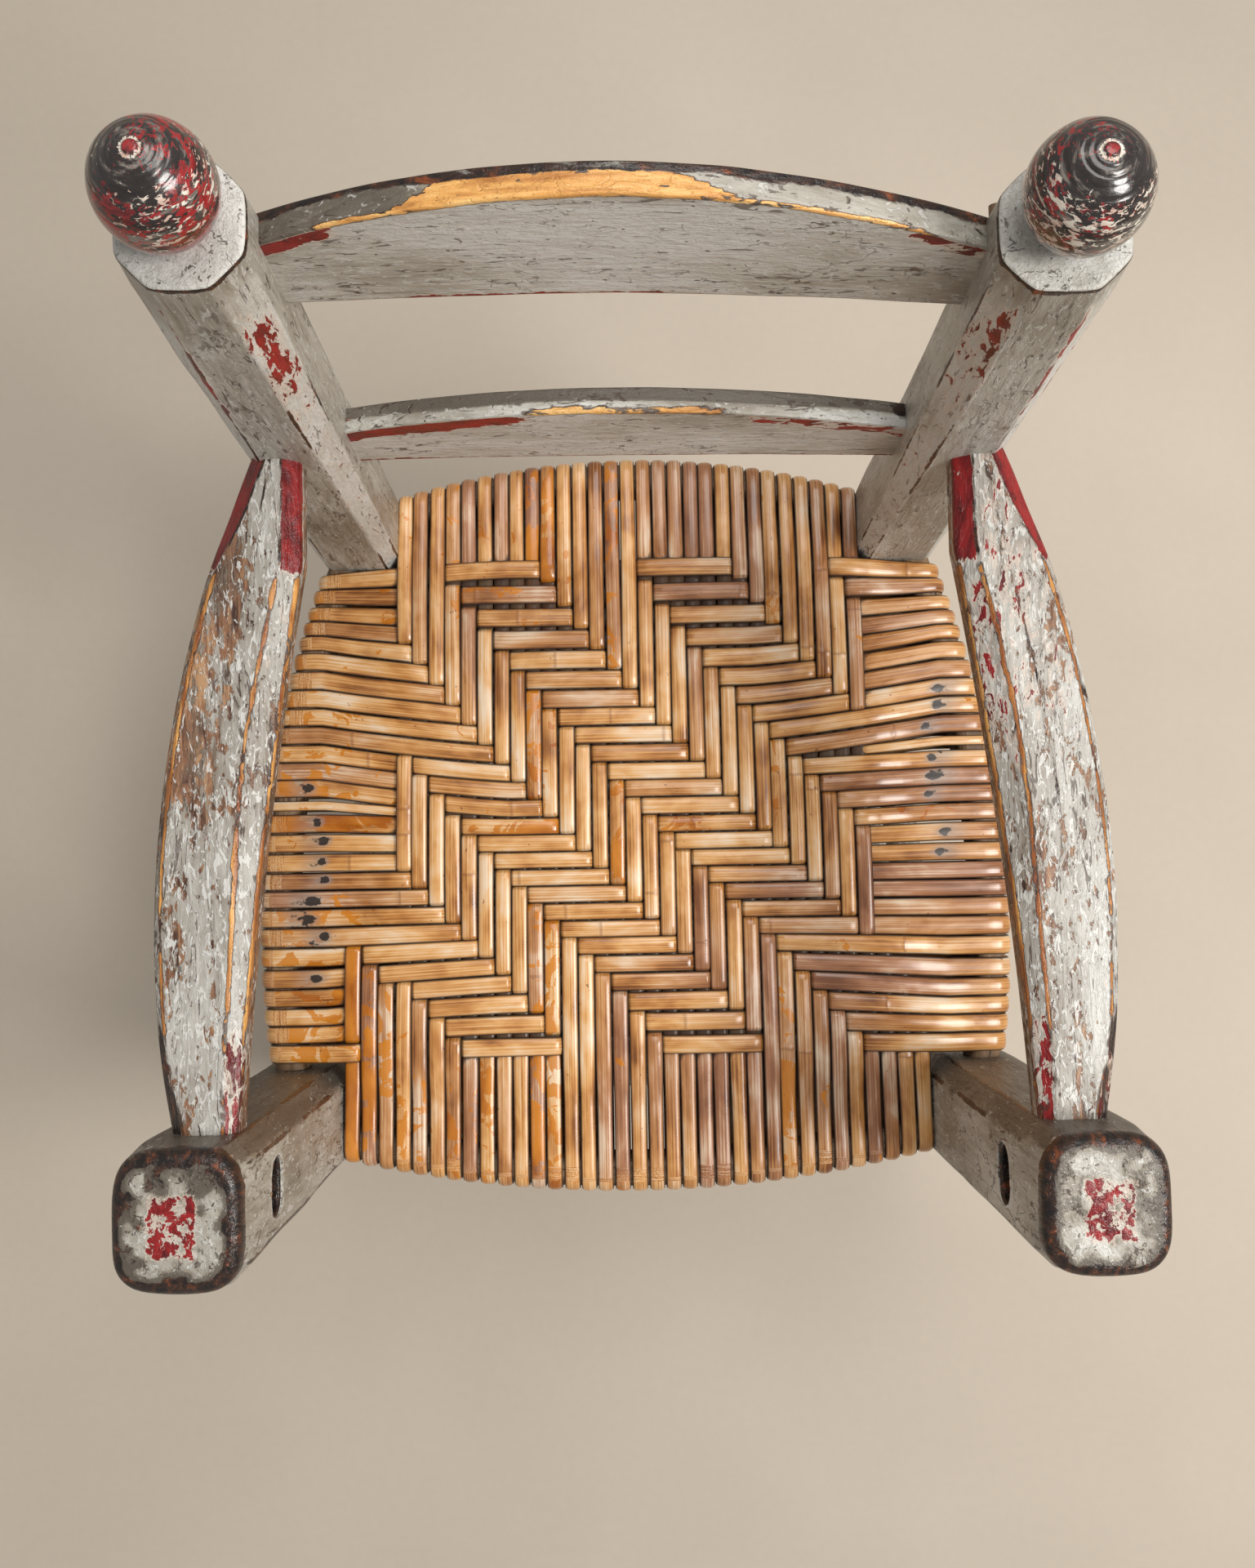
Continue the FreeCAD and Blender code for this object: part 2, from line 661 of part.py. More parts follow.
posts = []
for side_name, side in SIDES:
    rungs = [stretchers[side, "low"], stretchers[side, "high"]]
    in_front_post = [bar_slot(side_name, side), arms[side], rails["front"], rails[side], stretchers["front"]]
    posts.append(cut_by(f"front_post_{side_name}", front_blanks[side], in_front_post + rungs))
    in_rear_post = [finials[side], arms[side], rails["rear"], rails[side], stretchers["rear"], pin_group]
    in_rear_post += list(slats.values())
    posts.append(cut_by(f"rear_post_{side_name}", rear_blanks[side], in_rear_post + rungs))


# Seat: splints wound round the rails, front to back and side to side, woven through each other

thickness = size["splint_thickness"]
clearance = size["splint_clearance"]
# A bevel of this share of a quarter round touches it at its middle.
BEVEL_SHARE = 2 - math.sqrt(2)


class Bow:
    """The outer edge of a bowed rail in plan: an arc from start to end, bulging outward by a height."""

    def __init__(self, start, end, height, outward):
        chord = end - start
        self.radius = (chord.Length ** 2 + 4 * height ** 2) / (8 * height)
        normal = UP.cross(chord).normalize()
        if normal.dot(outward) < 0:
            normal = -normal
        self.centre = (start + end) * 0.5 + normal * (height - self.radius)

    def reach(self, offset):
        """How far the arc stands off its centre line at an offset along it."""
        return math.sqrt(self.radius ** 2 - offset ** 2)


def plan_point(across, along):
    return FreeCAD.Vector(size[across], size[along], 0)


front_edge = Bow(
    plan_point("front_rail_end_x", "front_rail_outer_y"),
    FreeCAD.Vector(-size["front_rail_end_x"], size["front_rail_outer_y"], 0),
    size["front_rail_bow"],
    -TO_BACK,
)
rear_edge = Bow(
    plan_point("rear_rail_end_x", "rear_rail_outer_y"),
    FreeCAD.Vector(-size["rear_rail_end_x"], size["rear_rail_outer_y"], 0),
    size["rear_rail_bow"],
    TO_BACK,
)
side_edge = Bow(
    plan_point("side_rail_front_outer_x", "front_scribe_y"),
    plan_point("side_rail_rear_outer_x", "rear_scribe_y"),
    size["side_rail_bow"],
    TO_RIGHT,
)


def widest(reach, middle, width):
    """The furthest that a rail's edge reaches under a splint of a width."""
    return max(reach(middle - width / 2), reach(middle), reach(middle + width / 2))


def splint_path(start, end, crossings, middle_height, outward):
    """The middle line of a run of splint from start to end: (place, height) pairs.

    crossings holds (low edge, high edge, over) for each splint that it meets, in order. It lies on the
    rails at both ends, and passes on the outward side of the weave's middle where over is true.
    """
    step = (thickness + clearance) / 2 * outward
    heights = {True: middle_height + step, False: middle_height - step}
    path = [(start, heights[False])]
    over_now = False
    leave = None
    for low, high, over in crossings:
        if over != over_now:
            gap_start = low - (thickness + clearance) if leave is None else leave
            path += [(gap_start, heights[over_now]), (low, heights[over])]
            over_now = over
        leave = high
    landing = leave + thickness + clearance
    if over_now and landing < end:
        path += [(leave, heights[True]), (landing, heights[False])]
        over_now = False
    return path + [(end, heights[over_now])]


def side_of_band(path, shift):
    """One face of the band round a middle line, shifted up or down by half a thickness."""
    return [(place, height + shift) for place, height in path]


def turn_round_rail(edge, top, base, bevel, way):
    """The bevelled turn of a splint round a rail, from the top run to the bottom one."""
    return [
        (edge - way * bevel, top),
        (edge, top - bevel),
        (edge, base + bevel),
        (edge - way * bevel, base),
    ]


def band_face(rim, lift):
    """A wire through (place, height) pairs, carried into space by lift."""
    points = [lift(place, height) for place, height in rim]
    return Part.makePolygon(points + points[:1])


weave_middle = size["weave_middle_height"]
base_middle = size["rail_base_height"] - clearance - thickness - clearance / 2
inner_bevel = size["rail_round"] * BEVEL_SHARE
outer_bevel = (size["rail_round"] + thickness) * BEVEL_SHARE


def splint_rims(low_edge, high_edge, crossings, tail=None):
    """The outer and inner outline of one splint, as a loop round two rails or a hook round the low one."""
    far = high_edge if tail is None else tail
    met = [crossing for crossing in crossings if tail is None or crossing[1] < tail]
    top = splint_path(low_edge, far, met, weave_middle, 1)
    base = splint_path(low_edge, far, met, base_middle, -1)
    rims = []
    for shift, bevel in ((thickness / 2, outer_bevel), (-thickness / 2, inner_bevel)):
        stand_off = clearance + thickness / 2 + shift
        top_rim = side_of_band(top, shift)
        base_rim = side_of_band(base, -shift)
        heights = (top_rim[0][1], base_rim[0][1])
        rim = turn_round_rail(low_edge - stand_off, *heights, bevel, -1)[::-1] + top_rim[1:-1]
        if tail is None:
            rim += turn_round_rail(high_edge + stand_off, *heights, bevel, 1) + base_rim[-2:0:-1]
        else:
            rim = base_rim[:0:-1] + rim + top_rim[-1:]
        rims.append(rim)
    return rims


def splint(rims, closed, lift, sweep):
    """The solid of one splint from its two outlines."""
    outer, inner = rims
    if closed:
        wires = [band_face(outer, lift), band_face(inner, lift)]
        face = Part.makeFace(wires, "Part::FaceMakerBullseye")
    else:
        face = Part.Face(band_face(outer + inner[::-1], lift))
    return face.extrude(sweep)


def spread(count, pitch, middle):
    """Evenly spaced places round a middle."""
    return [middle + (number - (count - 1) / 2) * pitch for number in range(count)]


def fitted(space, width, pitch):
    """How many splints lie side by side in a space."""
    return math.floor((space - 2 * clearance - width) / pitch) + 1


seat_base = base_middle - thickness - clearance
rear_gap = 2 * (rear_axis(1, size["seat_height"]).x - size["rear_post_half_width"])
rear_limit = rear_axis(1, seat_base).y - size["rear_post_half_width"]
front_limit = size["front_post_back_y"]
loops = fitted(rear_gap, size["warp_width"], size["warp_pitch"])
hooks = (fitted(2 * size["front_post_inner_x"], size["warp_width"], size["warp_pitch"]) - loops) // 2
rows = fitted(rear_limit - front_limit, size["weft_width"], size["weft_pitch"])
columns_x = spread(loops + 2 * hooks, size["warp_pitch"], 0)
rows_y = spread(rows, size["weft_pitch"], (rear_limit + front_limit) / 2)
# The hooks beside the loops end this many rows apart, the outermost furthest forward.
HOOK_ROWS = 2


def tail_of(column):
    """Where a splint that only hooks round the front rail ends, or None for one that goes all round."""
    outside = max(hooks - column, column - (loops + hooks - 1))
    if outside <= 0:
        return None
    return rows_y[-1 - HOOK_ROWS * outside] + size["weft_pitch"] / 2


def warp_is_over(column, row):
    return (column + row - TWILL_START) % (2 * TWILL_FLOAT) < TWILL_FLOAT


def warp_splint(column):
    across = columns_x[column]
    width = size["warp_width"]
    crossings = [
        (along - size["weft_width"] / 2, along + size["weft_width"] / 2, warp_is_over(column, row))
        for row, along in enumerate(rows_y)
    ]
    low_edge = front_edge.centre.y - widest(front_edge.reach, across, width)
    tail = tail_of(column)
    high_edge = rear_edge.centre.y + widest(rear_edge.reach, across, width) if tail is None else None
    rims = splint_rims(low_edge, high_edge, crossings, tail)
    start_x = across - width / 2
    sweep = TO_RIGHT * width
    return splint(rims, tail is None, lambda place, height: FreeCAD.Vector(start_x, place, height), sweep)


def weft_splint(row):
    along = rows_y[row]
    width = size["weft_width"]
    crossings = [
        (across - size["warp_width"] / 2, across + size["warp_width"] / 2, not warp_is_over(column, row))
        for column, across in enumerate(columns_x)
        if tail_of(column) is None or along < tail_of(column)
    ]
    edge = side_edge.centre.x + widest(side_edge.reach, along - side_edge.centre.y, width)
    rims = splint_rims(-edge, edge, crossings)
    start_y = along - width / 2
    return splint(rims, True, lambda place, height: FreeCAD.Vector(place, start_y, height), TO_BACK * width)


def splint_group(label, solids):
    group = doc.addObject("Part::Feature", label)
    group.Label = label
    group.Shape = Part.Compound(solids)
    group.Placement = FreeCAD.Placement()
    return group


warp = splint_group("seat_warp_splints", [warp_splint(column) for column in range(len(columns_x))])
weft = splint_group("seat_weft_splints", [weft_splint(row) for row in range(rows)])

doc.recompute()


# Checks, then one file for each piece

single_pieces = posts + list(finials.values()) + list(arms.values()) + list(slats.values())
single_pieces += list(rails.values()) + list(stretchers.values())
groups = [pin_group, warp, weft]
for item in doc.Objects:
    if "Invalid" in item.State or "Error" in item.State:
        raise RuntimeError(f"{item.Label} failed: {item.State}")
for piece in single_pieces + groups:
    if piece.Shape.isNull() or not piece.Shape.isValid():
        raise RuntimeError(f"{piece.Label} has no valid shape")
for piece in single_pieces:
    if len(piece.Shape.Solids) != 1:
        raise RuntimeError(f"{piece.Label} is {len(piece.Shape.Solids)} solids")

os.makedirs("parts", exist_ok=True)
for piece in single_pieces + groups:
    piece.Shape.exportStep(os.path.join("parts", f"{piece.Label}.step"))
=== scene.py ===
import itertools
import math

import bmesh
import bpy
import numpy as np
from mathutils import Matrix, Vector


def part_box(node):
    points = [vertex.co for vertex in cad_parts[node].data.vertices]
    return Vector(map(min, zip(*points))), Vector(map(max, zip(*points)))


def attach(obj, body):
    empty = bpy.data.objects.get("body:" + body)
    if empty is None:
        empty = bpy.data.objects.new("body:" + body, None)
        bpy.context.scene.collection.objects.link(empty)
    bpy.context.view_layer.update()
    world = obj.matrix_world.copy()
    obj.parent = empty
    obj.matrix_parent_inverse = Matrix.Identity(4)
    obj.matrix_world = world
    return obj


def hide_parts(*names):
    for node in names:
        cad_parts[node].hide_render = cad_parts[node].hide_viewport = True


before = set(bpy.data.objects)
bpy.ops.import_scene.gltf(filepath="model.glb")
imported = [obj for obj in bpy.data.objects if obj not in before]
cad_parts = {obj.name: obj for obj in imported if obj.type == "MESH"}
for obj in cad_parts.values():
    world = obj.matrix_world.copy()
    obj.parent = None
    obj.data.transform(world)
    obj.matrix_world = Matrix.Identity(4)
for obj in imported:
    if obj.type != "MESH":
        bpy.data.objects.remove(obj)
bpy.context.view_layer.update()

MM = 0.001
SIDES = (("left", -1), ("right", 1))


def box(node):
    """A node's lowest and highest corners as arrays."""
    low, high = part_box(node)
    return np.array(low), np.array(high)


# Places of the posts, taken from the frame
front_low, front_high = box("front_post_right")
FRONT_HALF = (front_high - front_low)[:2] / 2
FRONT_X, FRONT_Y = (front_high + front_low)[:2] / 2
FRONT_TOP = front_high[2]
rear_low, rear_high = box("rear_post_right")
REAR_HALF = 18.5 * MM
REAR_TOP = rear_high[2]
REAR_FOOT = np.array([rear_high[0] - REAR_HALF, rear_low[1] + REAR_HALF])
REAR_SHOULDER = np.array([rear_low[0] + REAR_HALF, rear_high[1] - REAR_HALF])
BACK_TWIST, TWIST_START, TWIST_LIMIT = 3.0 * MM, 240 * MM, 1.1

# Seeds of the noise on each kind of piece, and of the draws for the strands
SEEDS = {
    "front_post": 11, "rear_post": 17, "finial": 23, "arm": 31, "top_slat": 41, "lower_slat": 43,
    "cross_rung": 51, "side_rung": 53, "warp": 100, "weft": 200, "filler": 240, "draws": 7,
}


def twist(height):
    """How far the twisted back moves the right rear post along Y. The left one moves the other way."""
    share = (np.asarray(height) - TWIST_START) / (REAR_TOP - TWIST_START)
    return -BACK_TWIST * np.clip(share, 0, TWIST_LIMIT)


def rear_axis(height, side=1):
    """Where a rear post's middle line is at each height."""
    share = np.asarray(height)[..., None] / REAR_TOP
    middle = (REAR_FOOT + (REAR_SHOULDER - REAR_FOOT) * share) * (side, 1)
    middle[..., 1] += side * twist(height)
    return middle


# Helpers for numbers and meshes
HASH_STEPS = np.array([127.1, 311.7, 74.7])
HASH_GAIN = 43758.5453
SEED_STEP = np.array([3.17, 7.31, 5.57])


def rough(points, scale, seed):
    """Smooth noise from -1 to 1, with so many cells to the metre on each axis."""
    place = points * np.asarray(scale, float) + seed * SEED_STEP
    cell = np.floor(place)
    part = place - cell
    part = part * part * (3 - 2 * part)
    total = 0
    for corner in itertools.product((0, 1), repeat=3):
        hashed = np.sin((cell + corner) @ HASH_STEPS) * HASH_GAIN
        weight = np.prod(np.where(corner, part, 1 - part), axis=-1)
        total = total + weight * (hashed - np.floor(hashed))
    return total * 2 - 1


def ease(value, low, high):
    """A smooth rise from 0 at low to 1 at high, or a fall where high is the smaller."""
    share = np.clip((value - low) / (high - low), 0, 1)
    return share * share * (3 - 2 * share)


def hill(value, middle, width):
    """A smooth bump of height 1."""
    return np.exp(-(((value - middle) / width) ** 2))


def bowed(share, start, end, bow):
    """A line from start to end that stands out by the bow in its middle."""
    return start + (end - start) * share + bow * 4 * share * (1 - share)


def coords(*columns):
    """Numbers and arrays put side by side as coordinates."""
    return np.stack(np.broadcast_arrays(*columns), axis=-1)


def line(length, seed, scale):
    """Smooth noise along a line of places."""
    return rough(coords(length, 0.0, 0.0), scale, seed)


def section(corners, counts, passes):
    """Rings through the corners of many sections, with points crowded at the corners and then softened."""
    lines = []
    for start, end, count in zip(corners, corners[1:] + corners[:1], counts):
        start, end = coords(*start)[:, None], coords(*end)[:, None]
        step = np.arange(count) / count
        step = (step + 3 * (1 - np.cos(np.pi * step)) / 2) / 4
        lines.append(start + (end - start) * step[None, :, None])
    ring = np.concatenate(lines, axis=1)
    for _ in range(passes):
        ring = ring / 2 + (np.roll(ring, 1, axis=1) + np.roll(ring, -1, axis=1)) / 4
    return ring


def loft(rings, closed=False):
    """The points and faces of a skin over rings, with an end face on each end of an open one."""
    count, around = rings.shape[:2]
    index = np.arange(count * around).reshape(count, around)
    beside = np.roll(index, -1, axis=1)
    rows = np.arange(count if closed else count - 1)
    after = (rows + 1) % count
    quads = np.stack([index[rows], beside[rows], beside[after], index[after]], axis=-1)
    faces = quads.reshape(-1, 4).tolist()
    if not closed:
        faces.append(index[0][::-1].tolist())
        faces.append(index[-1].tolist())
    return rings.reshape(-1, 3), faces


def new_mesh(name, points, faces):
    """A mesh with its faces turned outwards and smooth."""
    mesh = bpy.data.meshes.new(name)
    mesh.from_pydata(points.tolist(), [], faces)
    work = bmesh.new()
    work.from_mesh(mesh)
    bmesh.ops.recalc_face_normals(work, faces=work.faces)
    work.to_mesh(mesh)
    work.free()
    mesh.polygons.foreach_set("use_smooth", np.ones(len(mesh.polygons), bool))
    return mesh


def new_object(name, mesh):
    made = bpy.data.objects.new(name, mesh)
    bpy.context.scene.collection.objects.link(made)
    return made


def skin(name, rings, closed=False):
    """An object with a skin over rings."""
    return new_object(name, new_mesh(name, *loft(rings, closed)))


def points_of(mesh):
    found = np.empty(len(mesh.vertices) * 3, np.float32)
    mesh.vertices.foreach_get("co", found)
    return found.reshape(-1, 3).astype(float)


KINDS = {1: ("FLOAT", "value"), 3: ("FLOAT_VECTOR", "vector"), 4: ("FLOAT_COLOR", "color")}


def set_field(mesh, name, values):
    """Keeps a number, vector or four numbers at each point, for the material to read."""
    values = np.asarray(values, np.float32)
    width = 1 if values.ndim == 1 else values.shape[1]
    kind, member = KINDS[width]
    mesh.attributes.new(name, kind, "POINT").data.foreach_set(member, values.ravel())


def finish_piece(piece, look, slot, *nodes):
    piece.data.materials.append(look)
    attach(piece, "root")
    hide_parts(*nodes)


def paint_piece(piece, look, slot, node, grain, seed, red=0.0, bare=0.0, dark=0.0, pale=0.0):
    """Gives a wooden piece its grain and its zones: red, bare wood, dark (soiling, painted shade in places)
    and pale paint.
    """
    set_field(piece.data, "grain", grain + seed * SEED_STEP / 10)
    set_field(piece.data, "zones", coords(red, bare, dark, pale))
    finish_piece(piece, look, slot, node)


# Helper for materials
class Look:
    """A material whose nodes are added by short calls, each giving the socket of its result."""

    def __init__(self, name, **fixed):
        self.material = bpy.data.materials.new(name)
        self.material.use_nodes = True
        self.tree = self.material.node_tree
        self.shader = self.tree.nodes["Principled BSDF"]
        for socket, value in fixed.items():
            self.shader.inputs[socket.replace("_", " ")].default_value = value

    def node(self, kind, inputs, output=0, **settings):
        made = self.tree.nodes.new("ShaderNode" + kind)
        for key, value in settings.items():
            setattr(made, key, value)
        for socket, value in inputs.items():
            self.put(made.inputs[socket], value)
        return made.outputs[output]

    def put(self, target, value):
        if isinstance(value, bpy.types.NodeSocket):
            self.tree.links.new(value, target)
        else:
            target.default_value = value

    def field(self, name, output="Vector"):
        return self.node("Attribute", {}, output, attribute_name=name)

    def parts(self, name):
        """The four numbers of a field."""
        source = self.tree.nodes.new("ShaderNodeAttribute")
        source.attribute_name = name
        split = self.tree.nodes.new("ShaderNodeSeparateColor")
        self.tree.links.new(source.outputs["Color"], split.inputs[0])
        return [*split.outputs, source.outputs["Alpha"]]

    def noise(self, place, scale, detail=3.0, harsh=0.55, twist=0.0, stretch=(1.0, 1.0, 1.0)):
        spot = self.node("VectorMath", {0: place, 1: stretch}, operation="MULTIPLY")
        inputs = {"Vector": spot, "Scale": scale, "Detail": detail, "Roughness": harsh, "Distortion": twist}
        return self.node("TexNoise", inputs, "Fac")

    def add(self, *terms, offset=0.0):
        """Adds up sockets, each times its factor."""
        total = offset
        for socket, factor in terms:
            total = self.math("MULTIPLY_ADD", socket, factor, total)
        return total

    def math(self, operation, *values):
        return self.node("Math", dict(enumerate(values)), operation=operation)

    def times(self, first, second):
        return self.math("MULTIPLY", first, second)

    def step(self, value, low, high):
        inputs = {"Value": value, "From Min": low, "From Max": high}
        return self.node("MapRange", inputs, interpolation_type="SMOOTHSTEP")

    def mix(self, share, first, second):
        return self.node("Mix", {0: share, 6: first, 7: second}, 2, data_type="RGBA")

    def ramp(self, value, *stops):
        made = self.tree.nodes.new("ShaderNodeValToRGB")
        self.put(made.inputs[0], value)
        while len(made.color_ramp.elements) < len(stops):
            made.color_ramp.elements.new(1.0)
        for element, (place, color) in zip(made.color_ramp.elements, stops):
            element.position = place
            element.color = color
        return made.outputs[0]

    def end(self, color, gloss, height, strength, distance):
        self.put(self.shader.inputs["Base Color"], color)
        self.put(self.shader.inputs["Roughness"], gloss)
        inputs = {"Height": height, "Strength": strength, "Distance": distance}
        self.put(self.shader.inputs["Normal"], self.node("Bump", inputs))
        return self.material


def rgb(red, green, blue):
    """A colour as a screen shows it, from 0 to 255, made linear."""
    shown = np.array([red, green, blue]) / 255
    linear = np.where(shown <= 0.04045, shown / 12.92, ((shown + 0.055) / 1.055) ** 2.4)
    return (*[float(value) for value in linear], 1.0)


# Colours
CREAM = rgb(226, 220, 206)
SILVER = rgb(216, 215, 210)
PINK = rgb(205, 172, 156)
BRICK = rgb(157, 31, 33)
BRICK_DARK = rgb(94, 14, 18)
HONEY_LIGHT = rgb(250, 206, 136)
HONEY = rgb(230, 170, 96)
HONEY_DARK = rgb(176, 112, 54)
UMBER = rgb(66, 44, 34)
SOOT = rgb(32, 26, 25)
RUST = rgb(138, 72, 38)


def painted(name, tones, woods, cover, wear, dabs, dab_zone, crackle):
    """Old grey paint over brick red over bare wood, worn where the zones say.

    `cover` is how much grey is left and `wear` what the pale zone adds to it. `dabs` is the strength of
    thick pale touches, `dab_zone` what the pale zone adds to them, and `crackle` that of the fine cracks."""
    look = Look(name)
    grain = look.field("grain")
    red, bare, dark, pale = look.parts("zones")
    broad = look.noise(grain, 26.0, 3.0, stretch=(0.5, 1.0, 1.0))
    brush = look.noise(grain, 320.0, 3.0, 0.55, 1.0, stretch=(0.14, 1.0, 1.0))
    flake = look.noise(grain, 130.0, 6.0, 0.66, 0.7, stretch=(0.45, 1.0, 1.0))
    chip = look.noise(grain, 300.0, 5.0, 0.62, 0.5, stretch=(0.45, 1.0, 1.0))
    dab = look.noise(grain, 430.0, 4.0, 0.58, 1.4, stretch=(0.4, 1.0, 1.0))
    fine = look.noise(grain, 1500.0, 2.0)
    cloud = look.add((broad, 0.6), (brush, 0.4), (flake, 0.35), (pale, 0.5), offset=-0.175)
    earth, wash, deep, shadow, plain, light = tones
    paint = look.ramp(cloud, (0.14, deep), (0.34, shadow), (0.48, plain), (0.6, light), (0.76, SILVER))
    soil = look.add((brush, 0.8), (broad, 0.5), (chip, 0.5), offset=-0.4)
    ground = look.ramp(soil, (0.34, UMBER), (0.5, earth), (0.66, wash))
    film = look.step(look.add((flake, 0.9), (chip, 1.1), (pale, wear), offset=cover - 1.0), 0.46, 0.51)
    color = look.mix(film, ground, paint)
    # Deep grey patches where the pale zone is low: grime, and painted shade where a piece lowers its pale
    # zone for shade
    grime_and_shade = look.step(look.add((pale, -1.0), (flake, 1.1), (chip, 0.7), offset=-0.9), 0.28, 0.38)
    color = look.mix(look.times(grime_and_shade, 0.7), color, deep)
    touch = look.step(look.add((dab, 1.0), (pale, dab_zone)), 0.62 - 0.1 * dabs, 0.66 - 0.1 * dabs)
    color = look.mix(look.times(touch, dabs), color, SILVER)
    crack = look.noise(grain, 60.0, 4.0, 0.6, 0.4, stretch=(0.2, 1.0, 1.0))
    crack = look.step(look.math("ABSOLUTE", look.math("SUBTRACT", crack, 0.5)), 0.011, 0.004)
    crack = look.times(crack, look.step(chip, 0.5, 0.56))
    sway = look.node("TexNoise", {"Vector": grain, "Scale": 160.0}, "Color")
    sway = look.node("VectorMath", {0: sway, "Scale": 0.012}, operation="SCALE")
    spot = look.node("VectorMath", {0: grain, 1: (0.5, 1.0, 1.0), 2: sway}, operation="MULTIPLY_ADD")
    cell = look.node("TexVoronoi", {"Vector": spot, "Scale": 80.0}, "Distance", feature="DISTANCE_TO_EDGE")
    crazed = look.step(look.add((chip, 0.8), (broad, 0.8)), 0.84, 0.9)
    craze = look.times(look.step(cell, 0.03, 0.01), crazed)
    scratch = look.noise(grain, 640.0, 3.0, 0.6, stretch=(0.11, 1.0, 1.0))
    scratch = look.times(look.step(scratch, 0.63, 0.69), look.step(flake, 0.5, 0.58))
    speck = look.step(look.noise(grain, 480.0, 1.0, stretch=(0.6, 1.0, 1.0)), 0.75, 0.78)
    marks = look.add((crack, 0.7), (craze, crackle), (scratch, 0.7), (speck, 0.8))
    marks = look.math("MINIMUM", marks, 0.85)
    color = look.mix(marks, color, UMBER)
    worn = look.add((red, 1.0), (chip, 1.5), (brush, 0.5), offset=-1.0)
    color = look.mix(look.times(look.step(worn, 0.29, 0.45), 0.62), color, look.mix(brush, PINK, CREAM))
    red_mask = look.step(worn, 0.49, 0.53)
    color = look.mix(red_mask, color, look.ramp(flake, (0.4, BRICK_DARK), (0.6, BRICK)))
    rubbed = look.add((bare, 1.0), (chip, 0.9), (brush, 0.6), offset=-0.75)
    color = look.mix(look.times(look.step(rubbed, 0.32, 0.44), 0.85), color, UMBER)
    bare_mask = look.step(rubbed, 0.48, 0.52)
    rings = look.noise(grain, 260.0, 4.0, 0.55, 0.3, stretch=(0.06, 1.0, 1.0))
    color = look.mix(bare_mask, color, look.ramp(rings, *zip((0.34, 0.5, 0.64), woods)))
    # The dark zone: dirt and dark paint, and painted shade where a piece puts shade into it, as inside the
    # slots
    dirt_and_shade = look.step(look.add((dark, 1.0), (flake, 1.1), (brush, 0.4), offset=-0.75), 0.38, 0.56)
    color = look.mix(dirt_and_shade, color, look.ramp(chip, (0.42, SOOT), (0.58, UMBER), (0.72, RUST)))
    gloss = look.add((flake, 0.34), (red_mask, -0.08), (bare_mask, -0.1), (dirt_and_shade, -0.2), offset=0.22)
    height = look.add(
        (flake, 0.6), (brush, 0.5), (broad, 0.6), (chip, 0.4), (fine, 0.1), (film, 0.2), (touch, 0.12),
        (marks, -0.3), (red_mask, -0.15), (bare_mask, -0.2),
    )
    return look.end(color, gloss, height, 0.8, 1.2 * MM)


# Bare earth, thin wash, then four greys from deep to light
FRAME_GREYS = (rgb(92, 84, 74), rgb(146, 138, 125), rgb(172, 167, 156), rgb(196, 193, 184))
ARM_GREYS = (rgb(104, 84, 68), rgb(138, 127, 114), rgb(166, 160, 151), rgb(190, 187, 180))
RUNG_GREYS = (rgb(92, 84, 74), rgb(132, 126, 115), rgb(154, 149, 139), rgb(176, 172, 163))
FRAME_TONES = (rgb(112, 92, 74), HONEY, *FRAME_GREYS)
ARM_TONES = (rgb(138, 98, 72), rgb(182, 142, 104), *ARM_GREYS)
RUNG_TONES = (rgb(104, 92, 78), HONEY, *RUNG_GREYS)
PALE_WOODS = (HONEY_DARK, HONEY, HONEY_LIGHT)
BROWN_WOODS = (RUST, HONEY_DARK, HONEY)
frame_look = painted(
    "frame_paint", FRAME_TONES, PALE_WOODS, cover=0.94, wear=0.1, dabs=0.55, dab_zone=0.1, crackle=0.45,
)
post_look = painted(
    "post_paint", FRAME_TONES, PALE_WOODS, cover=0.92, wear=0.1, dabs=0.65, dab_zone=0.15, crackle=0.8,
)
arm_look = painted(
    "arm_paint", ARM_TONES, BROWN_WOODS, cover=0.62, wear=0.7, dabs=0.85, dab_zone=0.1, crackle=0.1,
)
rung_look = painted(
    "stretcher_paint", RUNG_TONES, PALE_WOODS, cover=0.8, wear=0.4, dabs=0.3, dab_zone=0.1, crackle=0.3,
)


def turned_paint():
    """Dark gloss paint on the finials, with flecks of red and cream along the turning."""
    look = Look("finial_paint", Coat_Weight=0.7, Coat_Roughness=0.08)
    grain = look.field("grain")
    red, _, dark, pale = look.parts("zones")
    ring = look.noise(grain, 420.0, 5.0, 0.62, 0.3, stretch=(1.0, 0.16, 0.16))
    fleck = look.noise(grain, 900.0, 4.0, 0.62, 0.8, stretch=(0.95, 0.36, 0.36))
    patch = look.noise(grain, 560.0, 5.0, 0.66, 1.0, stretch=(1.0, 0.42, 0.42))
    color = look.ramp(ring, (0.38, SOOT), (0.55, rgb(48, 42, 40)), (0.68, rgb(132, 124, 116)))
    red_mask = look.step(look.add((red, 1.0), (patch, 1.9), offset=-0.95), 0.48, 0.53)
    color = look.mix(red_mask, color, look.ramp(ring, (0.38, BRICK_DARK), (0.52, BRICK)))
    cream = look.step(look.add((pale, 1.0), (fleck, 1.9), offset=-0.95), 0.48, 0.54)
    color = look.mix(cream, color, look.ramp(ring, (0.4, PINK), (0.56, CREAM)))
    # Darker in the grooves and at the pole, and painted shade on the ball's underside and on the left ball's
    # outer side
    dirt_and_shade = look.step(look.add((dark, 1.0), (fleck, 1.0), offset=-0.5), 0.44, 0.58)
    color = look.mix(dirt_and_shade, color, SOOT)
    gloss = look.add((fleck, 0.25), (cream, 0.12), offset=0.1)
    height = look.add((ring, 0.5), (fleck, 0.3), (red_mask, -0.25), (cream, -0.2))
    return look.end(color, gloss, height, 0.45, 0.6 * MM)


finial_look = turned_paint()


